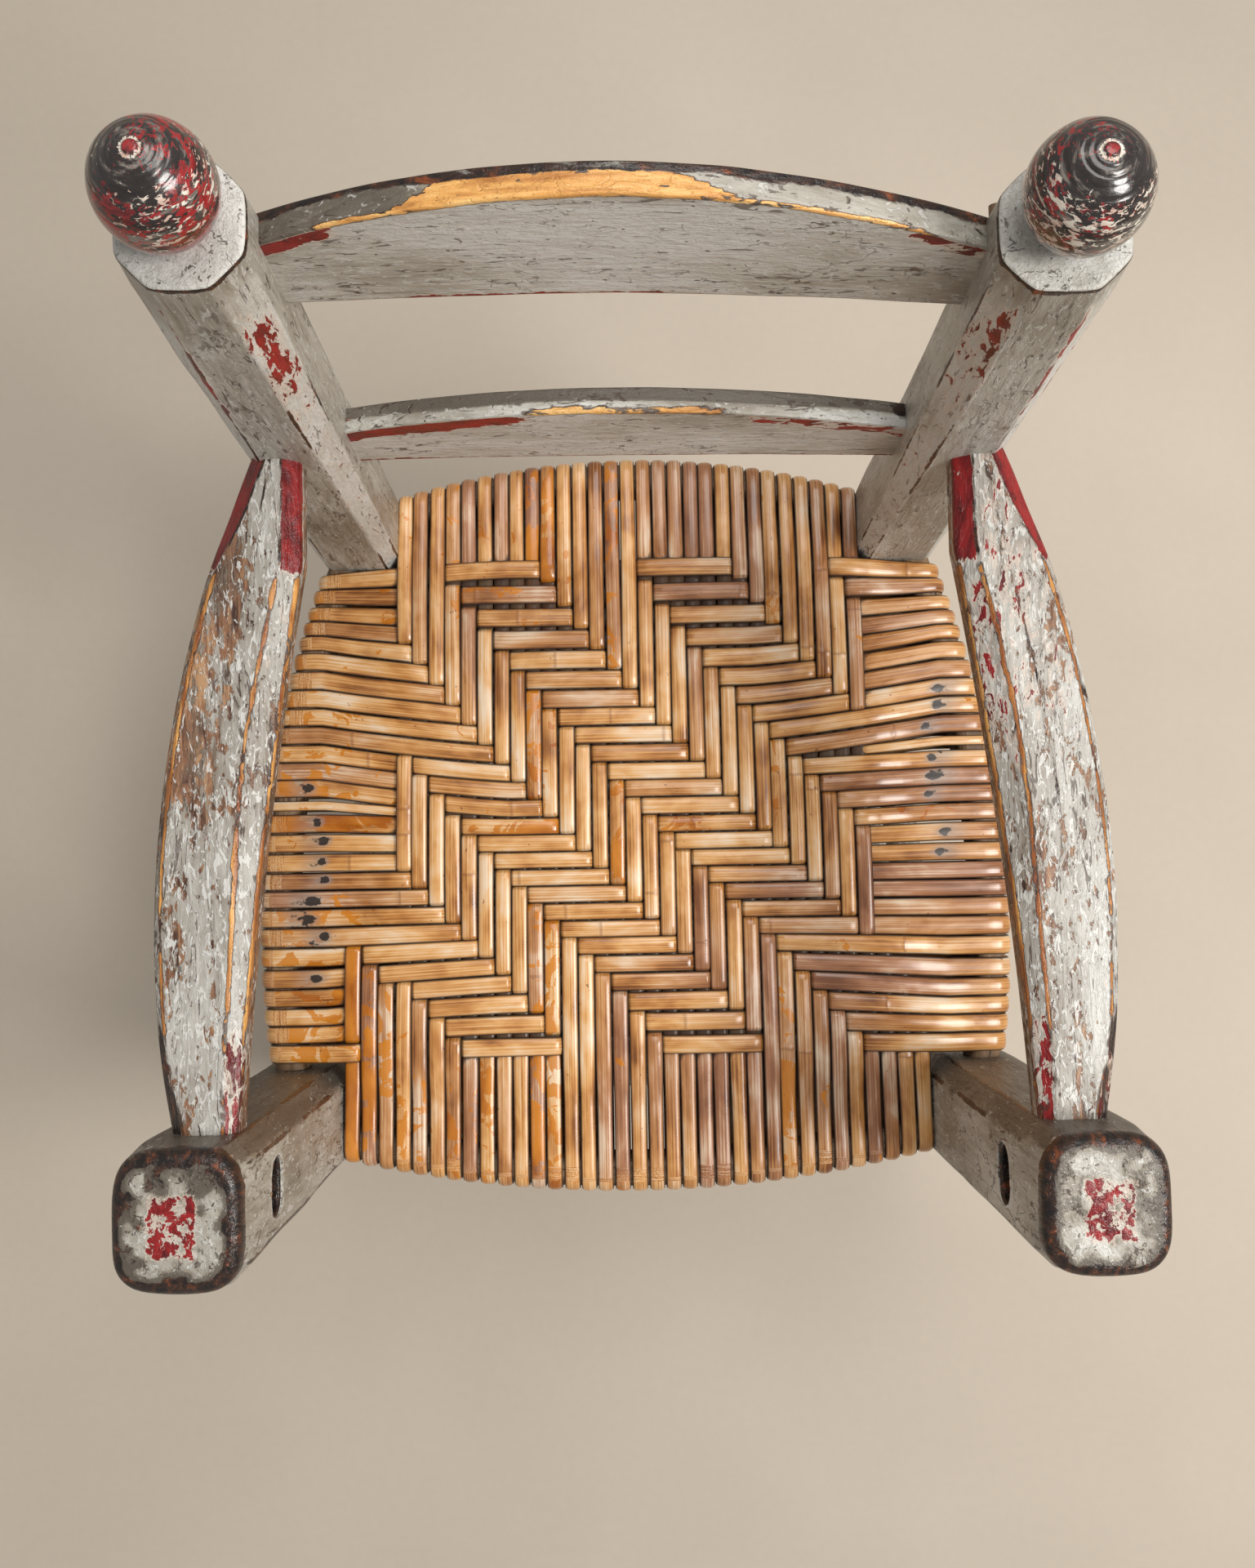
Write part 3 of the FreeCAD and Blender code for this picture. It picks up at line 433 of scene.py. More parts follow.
def bare_timber(name, pale, deep, stretch):
    """Plain aged wood with grain along one axis, for the rails and pins."""
    look = Look(name)
    place = look.node("TexCoord", {}, "Object")
    rings = look.noise(place, 260.0, 4.0, 0.6, 0.3, stretch)
    pores = look.noise(place, 1100.0, 2.0, 0.5, 0.0, stretch)
    stain = look.noise(place, 24.0, 3.0)
    color = look.ramp(look.add((rings, 0.8), (stain, 0.4), offset=-0.1), (0.35, deep), (0.65, pale))
    color = look.mix(look.step(pores, 0.6, 0.7), color, UMBER)
    gloss = look.add((rings, 0.3), (stain, 0.2), offset=0.35)
    return look.end(color, gloss, look.add((rings, 0.6), (pores, 0.4)), 0.5, 0.5 * MM)


# The rails are dark aged wood; their dark tone also stands in for painted shade in the gaps between the
# strands above them
RAIL_PALE, RAIL_DEEP = rgb(150, 120, 90), rgb(92, 68, 46)
cross_rail_look = bare_timber("rail_wood_cross", RAIL_PALE, RAIL_DEEP, (0.08, 1.0, 1.0))
side_rail_look = bare_timber("rail_wood_side", RAIL_PALE, RAIL_DEEP, (1.0, 0.08, 1.0))
pin_look = bare_timber("pin_wood", rgb(150, 122, 92), rgb(96, 72, 50), (1.0, 0.15, 1.0))

CANE_DEEP = rgb(124, 72, 34)
CANE_TAN = rgb(194, 132, 70)
CANE_HONEY = rgb(228, 174, 110)
CANE_BROWN_DEEP = rgb(122, 76, 50)
CANE_BROWN = rgb(178, 124, 88)
CANE_ASH = rgb(242, 220, 192)
VARNISH = rgb(212, 130, 22)
VARNISH_DEEP = rgb(166, 88, 12)
# Near-black brown painted as shade in the gaps between strands and where a strand runs under others
GAP_SHADE_BROWN = rgb(36, 21, 13)
WET_GREY = rgb(150, 140, 134)


def split_cane():
    """Half-glossy split cane with fibres, worn varnish and stains, and painted shade at its edges and where
    it runs under other strands.
    """
    look = Look("cane", Coat_Weight=0.4, Coat_Roughness=0.24)
    place = look.field("cane")
    shade, varnish, stain, joint = look.parts("tone")
    edge = look.field("edge", "Fac")
    fibre = look.noise(place, 1300.0, 3.0, 0.6, stretch=(0.012, 1.0, 1.0))
    wear = look.noise(place, 90.0, 3.0, 0.55, 0.3, stretch=(0.32, 0.7, 1.0))
    patch = look.noise(place, 80.0, 5.0, 0.56, 1.2, stretch=(0.8, 1.0, 1.0))
    speck = look.noise(place, 420.0, 2.0, stretch=(0.7, 1.0, 1.0))
    level = look.add((fibre, 0.7), (wear, 0.95), (shade, -0.12), offset=-0.29)
    warm = look.ramp(level, (0.26, CANE_DEEP), (0.42, CANE_TAN), (0.56, CANE_HONEY), (0.76, CANE_ASH))
    cool = look.ramp(level, (0.26, CANE_BROWN_DEEP), (0.5, CANE_BROWN), (0.74, CANE_ASH))
    color = look.mix(look.step(look.add((shade, 1.0), (wear, 0.6), offset=-0.3), 0.3, 0.8), warm, cool)
    glaze = look.step(look.add((varnish, 1.0), (patch, 2.0), (wear, 0.4), offset=-1.2), 0.49, 0.52)
    color = look.mix(look.times(glaze, 0.88), color, look.ramp(wear, (0.36, VARNISH_DEEP), (0.56, VARNISH)))
    color = look.mix(look.times(look.step(speck, 0.72, 0.76), 0.8), color, CANE_DEEP)
    halo = look.step(look.add((stain, 1.0), (wear, 0.5), offset=-0.25), 0.06, 0.4)
    color = look.mix(look.times(halo, 0.55), color, WET_GREY)
    mark = look.step(look.add((stain, 1.0), (wear, 0.9), (speck, 0.9), offset=-0.9), 0.42, 0.58)
    color = look.mix(look.times(mark, 0.95), color, SOOT)
    color = look.mix(look.times(look.step(joint, 0.3, 0.9), 0.4), color, CANE_DEEP)
    # Dark brown at the strand's sides and where it runs under others in the weave: painted shade in the gaps
    rim = look.step(look.add((edge, 1.0), (fibre, 0.25), offset=-0.125), 0.76, 0.97)
    color = look.mix(look.times(rim, 0.9), color, GAP_SHADE_BROWN)
    side = look.step(edge, 0.84, 0.96)
    gloss = look.add((wear, 0.4), (glaze, -0.06), (mark, 0.1), (side, 0.5), offset=0.08)
    height = look.add((fibre, 0.35), (wear, 0.5), (glaze, 0.15), (joint, -0.4))
    return look.end(color, gloss, height, 0.4, 0.35 * MM)


cane_look = split_cane()


# Posts: rings of a chamfered square, with the ends closed by shrinking rings
POST_COUNTS = (7, 15, 7, 15, 7, 15, 7, 15)
SOFT_PASSES = 30
CAP_RINGS, CAP_REACH = 12, 0.98
RIM_RINGS = 7
FOOT_BEND = 0.3


def square(half, chamfer):
    """Corners of chamfered squares, one for each chamfer given."""
    wide, deep = half
    inner_x, inner_y = wide - chamfer, deep - chamfer
    return [
        (inner_x, -deep), (wide, -inner_y), (wide, inner_y), (inner_x, deep),
        (-inner_x, deep), (-wide, inner_y), (-wide, -inner_y), (-inner_x, -deep),
    ]


def post_stations(top, half, bevel, foot, spacing):
    """Heights of a post's rings and how far each is drawn in."""
    turn = np.linspace(0, math.pi / 2, RIM_RINGS)
    flat = np.linspace(bevel, half * CAP_REACH, CAP_RINGS)[1:]
    sole = flat[::-1]
    shaft = np.arange(foot + spacing, top - bevel - spacing / 2, spacing)
    rim = top - bevel + bevel * np.sin(turn)
    heights = [sole * 0, [0.0, foot * FOOT_BEND, foot], shaft, rim, flat * 0 + top]
    insets = [sole, [foot, foot * FOOT_BEND, 0.0], shaft * 0, bevel * (1 - np.cos(turn)), flat]
    return np.concatenate(heights), np.concatenate(insets)


def post_rings(heights, insets, half, chamfer, seed, softness):
    """Rings of a post round its own middle line, hewn a little uneven, with softer corners where asked."""
    half = np.asarray(half, float)
    corners = square(half, chamfer)
    ring = section(corners, POST_COUNTS, 1)
    ring = ring + (section(corners, POST_COUNTS, SOFT_PASSES) - ring) * softness[:, None, None]
    ring = ring * (1 - insets / half.min())[:, None, None]
    points = coords(ring[..., 0], ring[..., 1], heights[:, None])
    flat = points.reshape(-1, 3)
    uneven = 0.5 * rough(flat, (26, 26, 13), seed) + 0.22 * rough(flat, (90, 90, 45), seed + 1)
    uneven = uneven.reshape(ring.shape[:2])
    points[..., :2] *= (1 + uneven * MM / half.min() * (insets[:, None] < half.min() * 0.4))[..., None]
    return points


def arris_distance(across, deep, half, chamfer):
    """How far a point is from the nearest long edge of a post, seen along the post."""
    x, y = np.abs(across), np.abs(deep)
    first = np.hypot(x - (half[0] - chamfer), y - half[1])
    second = np.hypot(x - half[0], y - (half[1] - chamfer))
    return np.minimum(first, second)


FRONT_CHAMFER = 7.5 * MM
FRONT_BEVEL = 4.6 * MM
SLOT_HEIGHT = FRONT_TOP - 46 * MM
SLOT_LENGTH, SLOT_WIDTH = 21 * MM, 12.5 * MM
SLOT_REACH = (SLOT_LENGTH - SLOT_WIDTH) / 2
SLOT_STEPS = 16
SLOT_SHARES = np.array([0, 0.3, 0.6, 0.9, 0.93, 0.945, 0.958, 0.968, 0.975, 0.98, 1.3])
SLOT_FLARE, MOUTH_START, MOUTH_RUN = 1.0 * MM, 0.93, 0.05
# For each side: dark ring, dark patches and shade of a front post's top, and how far the painted shade in the
# slot reaches
POST_TOPS = {-1: (0.56, 0.44, 0.35, 0.7 * MM), 1: (0.42, 0.22, 0.09, 1.3 * MM)}


def slot_cutter(middle_x):
    """A bar with round ends that cuts a slot through a front post, with worn mouths."""
    swing = np.linspace(-math.pi / 2, math.pi / 2, SLOT_STEPS)
    rings = []
    for share in np.concatenate([-SLOT_SHARES[:0:-1], SLOT_SHARES]):
        near = np.clip((abs(share) - MOUTH_START) / MOUTH_RUN, 0, 1)
        flare = SLOT_FLARE * (1 - math.sqrt(1 - near**2))
        radius = SLOT_WIDTH / 2 + flare
        front = coords(SLOT_REACH + radius * np.cos(swing), radius * np.sin(swing))
        deep, rise = np.concatenate([front, -front]).T
        across = middle_x + share * FRONT_HALF[0]
        rings.append(coords(across, FRONT_Y + deep, SLOT_HEIGHT + rise - 0.5 * flare))
    return skin("slot_cutter", np.array(rings))


def front_post(side_name, side):
    seed = SEEDS["front_post"] + side
    ring_dark, patch_dark, top_shade, lip = POST_TOPS[side]
    heights, insets = post_stations(FRONT_TOP, FRONT_HALF.min(), FRONT_BEVEL, 2 * MM, 3 * MM)
    chamfer = FRONT_CHAMFER * (1 + 0.1 * line(heights, seed, 30))
    softness = ease(heights, FRONT_TOP - 16 * MM, FRONT_TOP - 5 * MM)
    rings = post_rings(heights, insets, FRONT_HALF, chamfer, seed, softness)
    crown = ease(insets, FRONT_BEVEL, FRONT_HALF.min() * 0.5) * (heights > FRONT_TOP / 2)
    pitted = rough(rings.reshape(-1, 3), 160, seed).reshape(rings.shape[:2])
    rings[..., 2] += crown[:, None] * 0.5 * pitted * MM
    rings += (side * FRONT_X, FRONT_Y, 0)
    name = f"front_post_{side_name}_wood"
    blank = skin(name + "_blank", rings)
    cutter = slot_cutter(side * FRONT_X)
    cut = blank.modifiers.new("slot", "BOOLEAN")
    cut.object = cutter
    cut.solver = "EXACT"
    graph = bpy.context.evaluated_depsgraph_get()
    mesh = bpy.data.meshes.new_from_object(blank.evaluated_get(graph))
    mesh.name = name
    for spare in (blank, cutter):
        bpy.data.objects.remove(spare)
    mesh.set_sharp_from_angle(angle=math.radians(50))
    piece = new_object(name, mesh)
    spot = points_of(mesh)
    across, deep, height = spot[:, 0] - side * FRONT_X, spot[:, 1] - FRONT_Y, spot[:, 2]
    out = (np.abs(across / FRONT_HALF[0]) ** 4 + np.abs(deep / FRONT_HALF[1]) ** 4) ** 0.25
    on_top = ease(height, FRONT_TOP - 2.4 * MM, FRONT_TOP - 1.0 * MM)
    top_face = on_top * ease(out, 0.9, 0.84)
    rim = ease(out, 0.82, 0.89) * ease(height, FRONT_TOP - 9 * MM, FRONT_TOP - 5 * MM)
    arris = arris_distance(across, deep, FRONT_HALF, FRONT_CHAMFER)
    edge = hill(arris, 0.4 * MM, 1.2 * MM) * ease(height, FRONT_TOP - 6 * MM, FRONT_TOP - 12 * MM)
    patchy = rough(spot, 45, seed)
    smudge = ease(np.abs(across - 0.5 * side * MM), 11 * MM, 7 * MM)
    smudge = smudge * ease(np.abs(deep + 1.5 * MM), 13 * MM, 9 * MM)
    smudge = smudge * (1 - 0.3 * hill(across, 2.5 * MM, 1.6 * MM))
    rim_line = rim * hill(out, 0.975, 0.02) * ease(rough(spot, 70, seed + 3), -0.2, 0.4)
    shade = rough(spot, 110, seed + 2) + 0.8 * rough(spot, 240, seed + 5)
    shade = 0.5 * ease(shade, -0.35, 0.35) - 0.25
    rear_rim = rim * ease(deep, 14 * MM, 21 * MM)
    back = ease(deep, 15 * MM, 20 * MM)
    slot_gap = np.hypot(np.maximum(np.abs(deep) - SLOT_REACH, 0), height - SLOT_HEIGHT)
    lip_start = SLOT_WIDTH / 2 + lip
    # Inside the slot the dark zone is full: painted shade in the slot's opening
    painted_slot_shade = ease(slot_gap, lip_start + 0.4 * MM, lip_start)
    painted_slot_shade = painted_slot_shade * ease(np.abs(across), FRONT_HALF[0], FRONT_HALF[0] - 0.7 * MM)
    at_face = ease(np.abs(across), FRONT_HALF[0] - 2 * MM, FRONT_HALF[0] - MM)
    slot_lip = hill(slot_gap, SLOT_WIDTH / 2 + 0.8 * MM, 1.2 * MM) * (1 - painted_slot_shade) * at_face
    grain = coords(height, across, deep)
    paint_piece(
        piece, post_look, "frame_paint", f"front_post_{side_name}", grain, seed,
        red=0.58 * smudge * top_face + 0.34 * rear_rim + 0.06 * patchy * (1 - on_top),
        bare=0.28 * edge + 0.52 * rim_line + 0.44 * slot_lip,
        dark=0.8 * rim * (1 - 0.12 * rear_rim) + ring_dark * on_top * hill(out, 0.84, 0.06) + 1.1 * painted_slot_shade
        + 0.68 * edge * ease(patchy, -0.9, 0.3) + patch_dark * top_face * ease(-shade, 0.02, 0.25),
        # The back faces have a lower pale zone: browner paint and painted shade
        pale=top_face * (shade - top_shade - 0.6 * hill(out, 0.82, 0.07))
        + (1 - on_top) * (0.14 * patchy - 0.44 * back - 0.1 + 0.4 * slot_lip),
    )


REAR_BEVEL = 1.3 * MM
# For each side: height and spread of a rear post's red streak, and its place and spread across the chamfer
RED_STREAKS = {-1: (0.446, 0.026, 0.0, 6 * MM), 1: (0.472, 0.034, -4.5 * MM, 3.4 * MM)}


def rear_chamfer(height):
    """The rear posts' chamfers widen towards the shoulder."""
    return (5.2 + 3.8 * ease(height, 0.2, REAR_TOP)) * MM


def rear_post(side_name, side):
    seed = SEEDS["rear_post"] + side
    heights, insets = post_stations(REAR_TOP, REAR_HALF, REAR_BEVEL, 2 * MM, 3 * MM)
    chamfer = rear_chamfer(heights) * (1 + 0.1 * line(heights, seed, 28))
    softness = 0.45 * ease(heights, REAR_TOP - 16 * MM, REAR_TOP - 2 * MM)
    rings = post_rings(heights, insets, (REAR_HALF, REAR_HALF), chamfer, seed, softness)
    axis = rear_axis(heights, side)
    rings[..., :2] += axis[:, None, :]
    name = f"rear_post_{side_name}_wood"
    piece = skin(name, rings)
    spot = points_of(piece.data)
    height = spot[:, 2]
    across, deep = (spot[:, :2] - rear_axis(height, side)).T
    chamfer = rear_chamfer(height)
    on_chamfer = ease(np.abs(across) + np.abs(deep), 2 * REAR_HALF - chamfer - MM, 2 * REAR_HALF - chamfer)
    front = ease(-deep, 4 * MM, 9 * MM)
    inner = ease(-side * across, 0, 4 * MM)
    patchy = rough(spot, 40, seed)
    shoulder = ease(height, REAR_TOP - 0.9 * MM, REAR_TOP - 0.2 * MM)
    rim = hill(height, REAR_TOP - 0.9 * MM, 0.9 * MM) * (1 - shoulder)
    band = ease(height, 0.385, 0.43) * inner
    slant = deep - side * across
    level, rise, place, spread = RED_STREAKS[side]
    streak = hill(height, level, rise) * hill(slant, place, spread) * inner
    arris = arris_distance(across, deep, (REAR_HALF, REAR_HALF), chamfer)
    arris_line = hill(arris, 0, 1.3 * MM) * (1 - shoulder)
    outer_line = arris_line * front * (1 - inner) * ease(height, 0.37, 0.43)
    face = (1 - on_chamfer) * (1 - shoulder)
    grain = coords(height, across, deep)
    paint_piece(
        piece, frame_look, "frame_paint", f"rear_post_{side_name}", grain, seed,
        red=on_chamfer * (0.2 + front * (0.16 * band + 0.31 * streak)) + 0.5 * outer_line + 0.04 * patchy,
        bare=0.1 * hill(arris, 0, MM) * (1 - shoulder),
        dark=0.8 * rim + 0.6 * hill(arris, 0.2 * MM, 0.8 * MM) * (1 - shoulder) * ease(patchy, -0.5, 0.2),
        pale=0.42 * shoulder + on_chamfer * (0.42 + 0.25 * patchy) * front
        + 0.14 * patchy * face - 0.08 * face,
    )


for side_name, side in SIDES:
    front_post(side_name, side)
    rear_post(side_name, side)


# Turned finials, with rings cut round the top of the ball
FINIAL_RADIUS, FINIAL_HALF_HEIGHT, FINIAL_RISE = 16.7 * MM, 17.0 * MM, 17.4 * MM
COLLAR_RADIUS, COLLAR_HEIGHT = 8 * MM, 3 * MM
FINIAL_STEPS, FINIAL_AROUND = 110, 96
POLE_START, NECK_OVERLAP = 0.02, 0.97
BOSS_HEIGHT, BOSS_RUN = 0.5 * MM, (0.15, 0.1)
GROOVES = ((0.15, 0.4), (0.27, 0.16), (0.4, 0.26), (0.55, 0.1), (0.72, 0.14), (0.95, 0.1), (1.25, 0.12))
GROOVE_WIDTH = 0.022
COLLAR = np.array([[0.98, 0.7], [1.0, 0.5], [1.0, 0.3], [0.98, 0.04], [0.98, -0.3], [0.5, -0.3]])
FINIAL_LEAN = math.atan(0.0752)


def finial(side_name, side):
    seed = SEEDS["finial"] + side
    end = math.pi - math.asin(COLLAR_RADIUS / FINIAL_RADIUS) * NECK_OVERLAP
    polar = np.linspace(POLE_START, end, FINIAL_STEPS)
    cut = sum(depth * hill(polar, place, GROOVE_WIDTH) for place, depth in GROOVES) * MM
    boss = BOSS_HEIGHT * ease(polar, *BOSS_RUN)
    radius = (FINIAL_RADIUS - cut + boss) * np.sin(polar)
    height = FINIAL_RISE + (FINIAL_HALF_HEIGHT - cut + boss) * np.cos(polar)
    radius = np.concatenate([radius, COLLAR[:, 0] * COLLAR_RADIUS])
    height = np.concatenate([height, COLLAR[:, 1] * COLLAR_HEIGHT])
    arc = np.concatenate([[0], np.cumsum(np.hypot(np.diff(radius), np.diff(height)))])
    turn = np.linspace(0, 2 * math.pi, FINIAL_AROUND, endpoint=False)
    rings = coords(radius[:, None] * np.cos(turn), radius[:, None] * np.sin(turn), height[:, None])
    uneven = rough(rings.reshape(-1, 3), 110, seed).reshape(rings.shape[:2])
    rings *= (1 + 0.008 * uneven)[..., None]
    tilt = np.array(Matrix.Rotation(-FINIAL_LEAN, 3, "X"))
    shoulder = np.array([*rear_axis(REAR_TOP, side), REAR_TOP])
    local = rings.reshape(-1, 3)
    piece = skin(f"finial_{side_name}_turned", (local @ tilt.T + shoulder).reshape(rings.shape))
    along = np.repeat(arc, FINIAL_AROUND)
    swing = np.tile(turn, len(radius))
    grain = coords(along, FINIAL_RADIUS * np.cos(swing), FINIAL_RADIUS * np.sin(swing))
    up = np.repeat(np.concatenate([np.cos(polar), np.full(len(COLLAR), -1.0)]), FINIAL_AROUND)
    inward = -side * np.cos(swing) * 0.75 - np.sin(swing) * 0.65
    low = ease(up, 0.86, 0.6)
    grooved = np.repeat(np.concatenate([cut / MM, np.zeros(len(COLLAR))]), FINIAL_AROUND)
    pole = hill(along, 0, 1.3 * MM)
    ring = ease(along, 1.5 * MM, 1.9 * MM) * ease(along, 3.6 * MM, 3.0 * MM)
    uneven = rough(local, 70, seed)
    paint_piece(
        piece, finial_look, "finial_paint", f"finial_{side_name}", grain, seed,
        red=0.6 * pole + 0.24 + low * (0.14 + 0.1 * inward - 0.04 * side) + 0.2 * uneven - 0.05 * side,
        # Dark in the grooves and at the pole; the underside and the left ball's outer side get painted shade
        dark=0.6 * grooved + 0.22 * pole + 0.3 * ease(up, -0.3, -0.6)
        + (0.12 - 0.12 * side) * ease(inward, -0.3, -0.9) * low,
        pale=0.6 * ring + 0.14 + low * (0.17 + 0.06 * side + 0.08 * inward) - 0.14 * uneven - 0.2 * pole,
    )


for side_name, side in SIDES:
    finial(side_name, side)


# Bowed arms, swept from the front posts to the rear posts
arm_low, arm_high = box("arm_right")
ARM_BASE, ARM_TOP = arm_low[2], arm_high[2]
ARM_FRONT_Y, ARM_REAR_Y, ARM_NECK_Y = -0.1225, 0.1315, 0.091
ARM_FRONT_INNER, ARM_FRONT_OUTER = 0.1435, 0.166
ARM_REAR_INNER, ARM_REAR_OUTER = 0.1195, 0.137
ARM_OUTER_BOW, ARM_INNER_BOW = 18.5 * MM, 3 * MM
ARM_UNDER = 3.5 * MM
ARM_STATIONS = 128
ARM_COUNTS = (8, 6, 16, 8, 8, 4, 12, 4)
# For each side: strength of an arm's red dashes, bare patches and red flecks, and painted shade on its outer
# half
ARM_WEAR = {-1: (0.5, 1.0, 0.12, 0.1), 1: (1.0, 0.4, 0.3, 0.0)}


def arm_edges(deep):
    """The arm's inner and outer edges on the right side, seen from above."""
    share = (deep - ARM_FRONT_Y) / (ARM_REAR_Y - ARM_FRONT_Y)
    part = np.clip((deep - ARM_FRONT_Y) / (ARM_NECK_Y - ARM_FRONT_Y), 0, 1)
    inner = bowed(part, ARM_FRONT_INNER, ARM_REAR_INNER, ARM_INNER_BOW)
    return inner, bowed(share, ARM_FRONT_OUTER, ARM_REAR_OUTER, ARM_OUTER_BOW)


def arm_chamfers(deep):
    """Widths of the inner and outer chamfers on top of the arm."""
    inner = 6 * MM + 3.5 * MM * hill(deep, 0.02, 0.055) - 1.5 * MM * ease(deep, -0.09, -0.12)
    outer = 3.0 * MM + 4.2 * MM * ease(deep, 0.08, 0.112) + 2.4 * MM * ease(deep, -0.075, -0.115)
    return inner, outer


def arm(side_name, side):
    seed = SEEDS["arm"] + side
    dash, rub, fleck, outer_shade = ARM_WEAR[side]
    deep = np.linspace(ARM_REAR_Y, ARM_FRONT_Y, ARM_STATIONS)
    inner, outer = arm_edges(deep)
    slope_in, slope_out = arm_chamfers(deep)
    slope_in = slope_in * (1 + 0.12 * line(deep, seed, 40))
    slope_out = slope_out * (1 + 0.2 * line(deep, seed + 1, 45))
    top = ARM_TOP - 0.4 * MM + 0.35 * MM * line(deep, seed + 2, 22)
    wall = ARM_BASE + ARM_UNDER
    corners = [
        (outer, wall), (outer, top - 0.8 * slope_out), (outer - slope_out, top),
        (inner + slope_in, top), (inner, top - 0.7 * slope_in), (inner, wall),
        (inner + ARM_UNDER, ARM_BASE), (outer - ARM_UNDER, ARM_BASE),
    ]
    flat = section(corners, ARM_COUNTS, 1)
    rings = coords(side * flat[..., 0], deep[:, None], flat[..., 1])
    spot = rings.reshape(-1, 3)
    uneven = 0.3 * rough(spot, (60, 20, 60), seed) + 0.18 * rough(spot, (220, 60, 220), seed)
    rings[..., 2] += (uneven * MM).reshape(flat.shape[:2]) * (flat[..., 1] > ARM_TOP - 9 * MM)
    name = f"arm_{side_name}_wood"
    piece = skin(name, rings)
    spot = points_of(piece.data)
    out, deep, height = side * spot[:, 0], spot[:, 1], spot[:, 2]
    inner, outer = arm_edges(deep)
    slope_in, slope_out = arm_chamfers(deep)
    upper = ease(height, ARM_TOP - 9 * MM, ARM_TOP - 6.5 * MM)
    on_inner = ease(out - inner, slope_in + 0.4 * MM, slope_in - 0.8 * MM) * upper
    on_outer = ease(outer - out, slope_out + 0.4 * MM, slope_out - 0.8 * MM) * upper
    ridge_in = hill(out - inner, slope_in, 1.2 * MM) * upper
    ridge_out = hill(outer - out, slope_out, 1.1 * MM) * upper
    lip = hill(out - inner, 0.3 * MM, 0.9 * MM) * ease(height, ARM_TOP - 11 * MM, ARM_TOP - 8 * MM)
    crease = hill(out - inner - 0.52 * (outer - inner), 0, 0.7 * MM) * upper
    neck_in = ease(deep, 0.082, 0.09)
    neck_out = ease(deep, 0.084, 0.092)
    tip = ease(deep, -0.07, -0.09)
    patchy = rough(spot, (55, 18, 55), seed)
    broken = rough(spot, (90, 30, 90), seed + 4)
    dashes = ease(deep, 0.0, 0.02) * ease(deep, 0.085, 0.075) * dash
    side_wall = ease(height, ARM_TOP - 7 * MM, ARM_TOP - 10 * MM)
    outside = ease(out - (inner + outer) / 2, 0, 5 * MM)
    bare_patch = outside * ease(patchy, 0.0, 0.5) * upper * rub
    grain = coords(deep, out, height)
    red = on_inner * (0.8 * neck_in + 0.42 * dashes + 0.52 * tip) + on_outer * (0.8 * neck_out + 0.52 * tip)
    flecks = fleck * ease(deep, -0.02, 0.05)
    rubbed_in = 0.64 * ridge_in + 0.62 * lip + 0.1 * on_inner * ease(broken, 0, 0.5)
    paint_piece(
        piece, arm_look, "frame_paint", f"arm_{side_name}", grain, seed,
        red=red + flecks * upper * (1 - on_inner) + 0.08 * broken,
        bare=(1 - neck_in) * rubbed_in * (1 - 0.4 * tip)
        + (1 - neck_out) * 0.6 * ridge_out * (1 - 0.4 * tip) + 0.12 * bare_patch,
        dark=0.36 * side_wall + 0.34 * on_outer * (1 - neck_out) + 0.5 * crease * ease(broken, -0.2, 0.3)
        + 0.08 * broken + 0.5 * (neck_in * ridge_in + neck_out * ridge_out)
        + 0.26 * tip * (on_inner + on_outer),
        # The outer half's lower pale zone is painted shade
        pale=0.16 * broken - 0.22 * bare_patch - 0.3 * side_wall - 0.2 * crease - outer_shade * outside,
    )


for side_name, side in SIDES:
    arm(side_name, side)


# Bowed back slats with arched tops
SLAT_HALF_DEPTH = 4.75 * MM
SLAT_STATIONS = 120
SLAT_COUNTS = (20, 9, 20, 8)
SLAT_LET_IN = 7 * MM
SLAT_END, SLAT_FOOT, SLAT_BACK_DROP = 1.04, 0.5 * MM, 0.6 * MM


def slat(name, end_width, offset, bow, seed):
    low, high = box(name)
    base, crest = low[2] + SLAT_FOOT, high[2]
    span = rear_axis(np.array((base + crest) / 2))[0] - REAR_HALF
    across = np.linspace(-span - SLAT_LET_IN, span + SLAT_LET_IN, SLAT_STATIONS)
    share = np.clip(across / span, -SLAT_END, SLAT_END)
    top = base + end_width + (crest - base - end_width) * (1 - share**2)
    top = top + 0.4 * MM * line(across, seed, 30) - 0.4 * MM
    foot = base + 0.3 * MM * line(across, seed + 1, 25)
    front, back = -SLAT_HALF_DEPTH, SLAT_HALF_DEPTH
    flat = section([(front, foot), (front, top), (back, top - SLAT_BACK_DROP), (back, foot)], SLAT_COUNTS, 1)
    middle = rear_axis(flat[..., 1])[..., 1] + offset + bow * (1 - share[:, None] ** 2)
    middle += twist(flat[..., 1]) * (share[:, None] - 1)
    rings = coords(across[:, None], middle + flat[..., 0], flat[..., 1])
    spot = rings.reshape(-1, 3)
    uneven = 0.3 * rough(spot, (18, 60, 40), seed) + 0.12 * rough(spot, (70, 200, 160), seed)
    rings[..., 1] += (uneven * MM).reshape(flat.shape[:2])
    piece = skin(name + "_wood", rings)
    wide, deep, height = spot[:, 0], flat[..., 0].ravel(), spot[:, 2]
    drop = np.repeat(top, flat.shape[1]) - height
    rise = height - np.repeat(foot, flat.shape[1])
    return piece, wide / span, deep, drop, rise, coords(wide, height, deep)


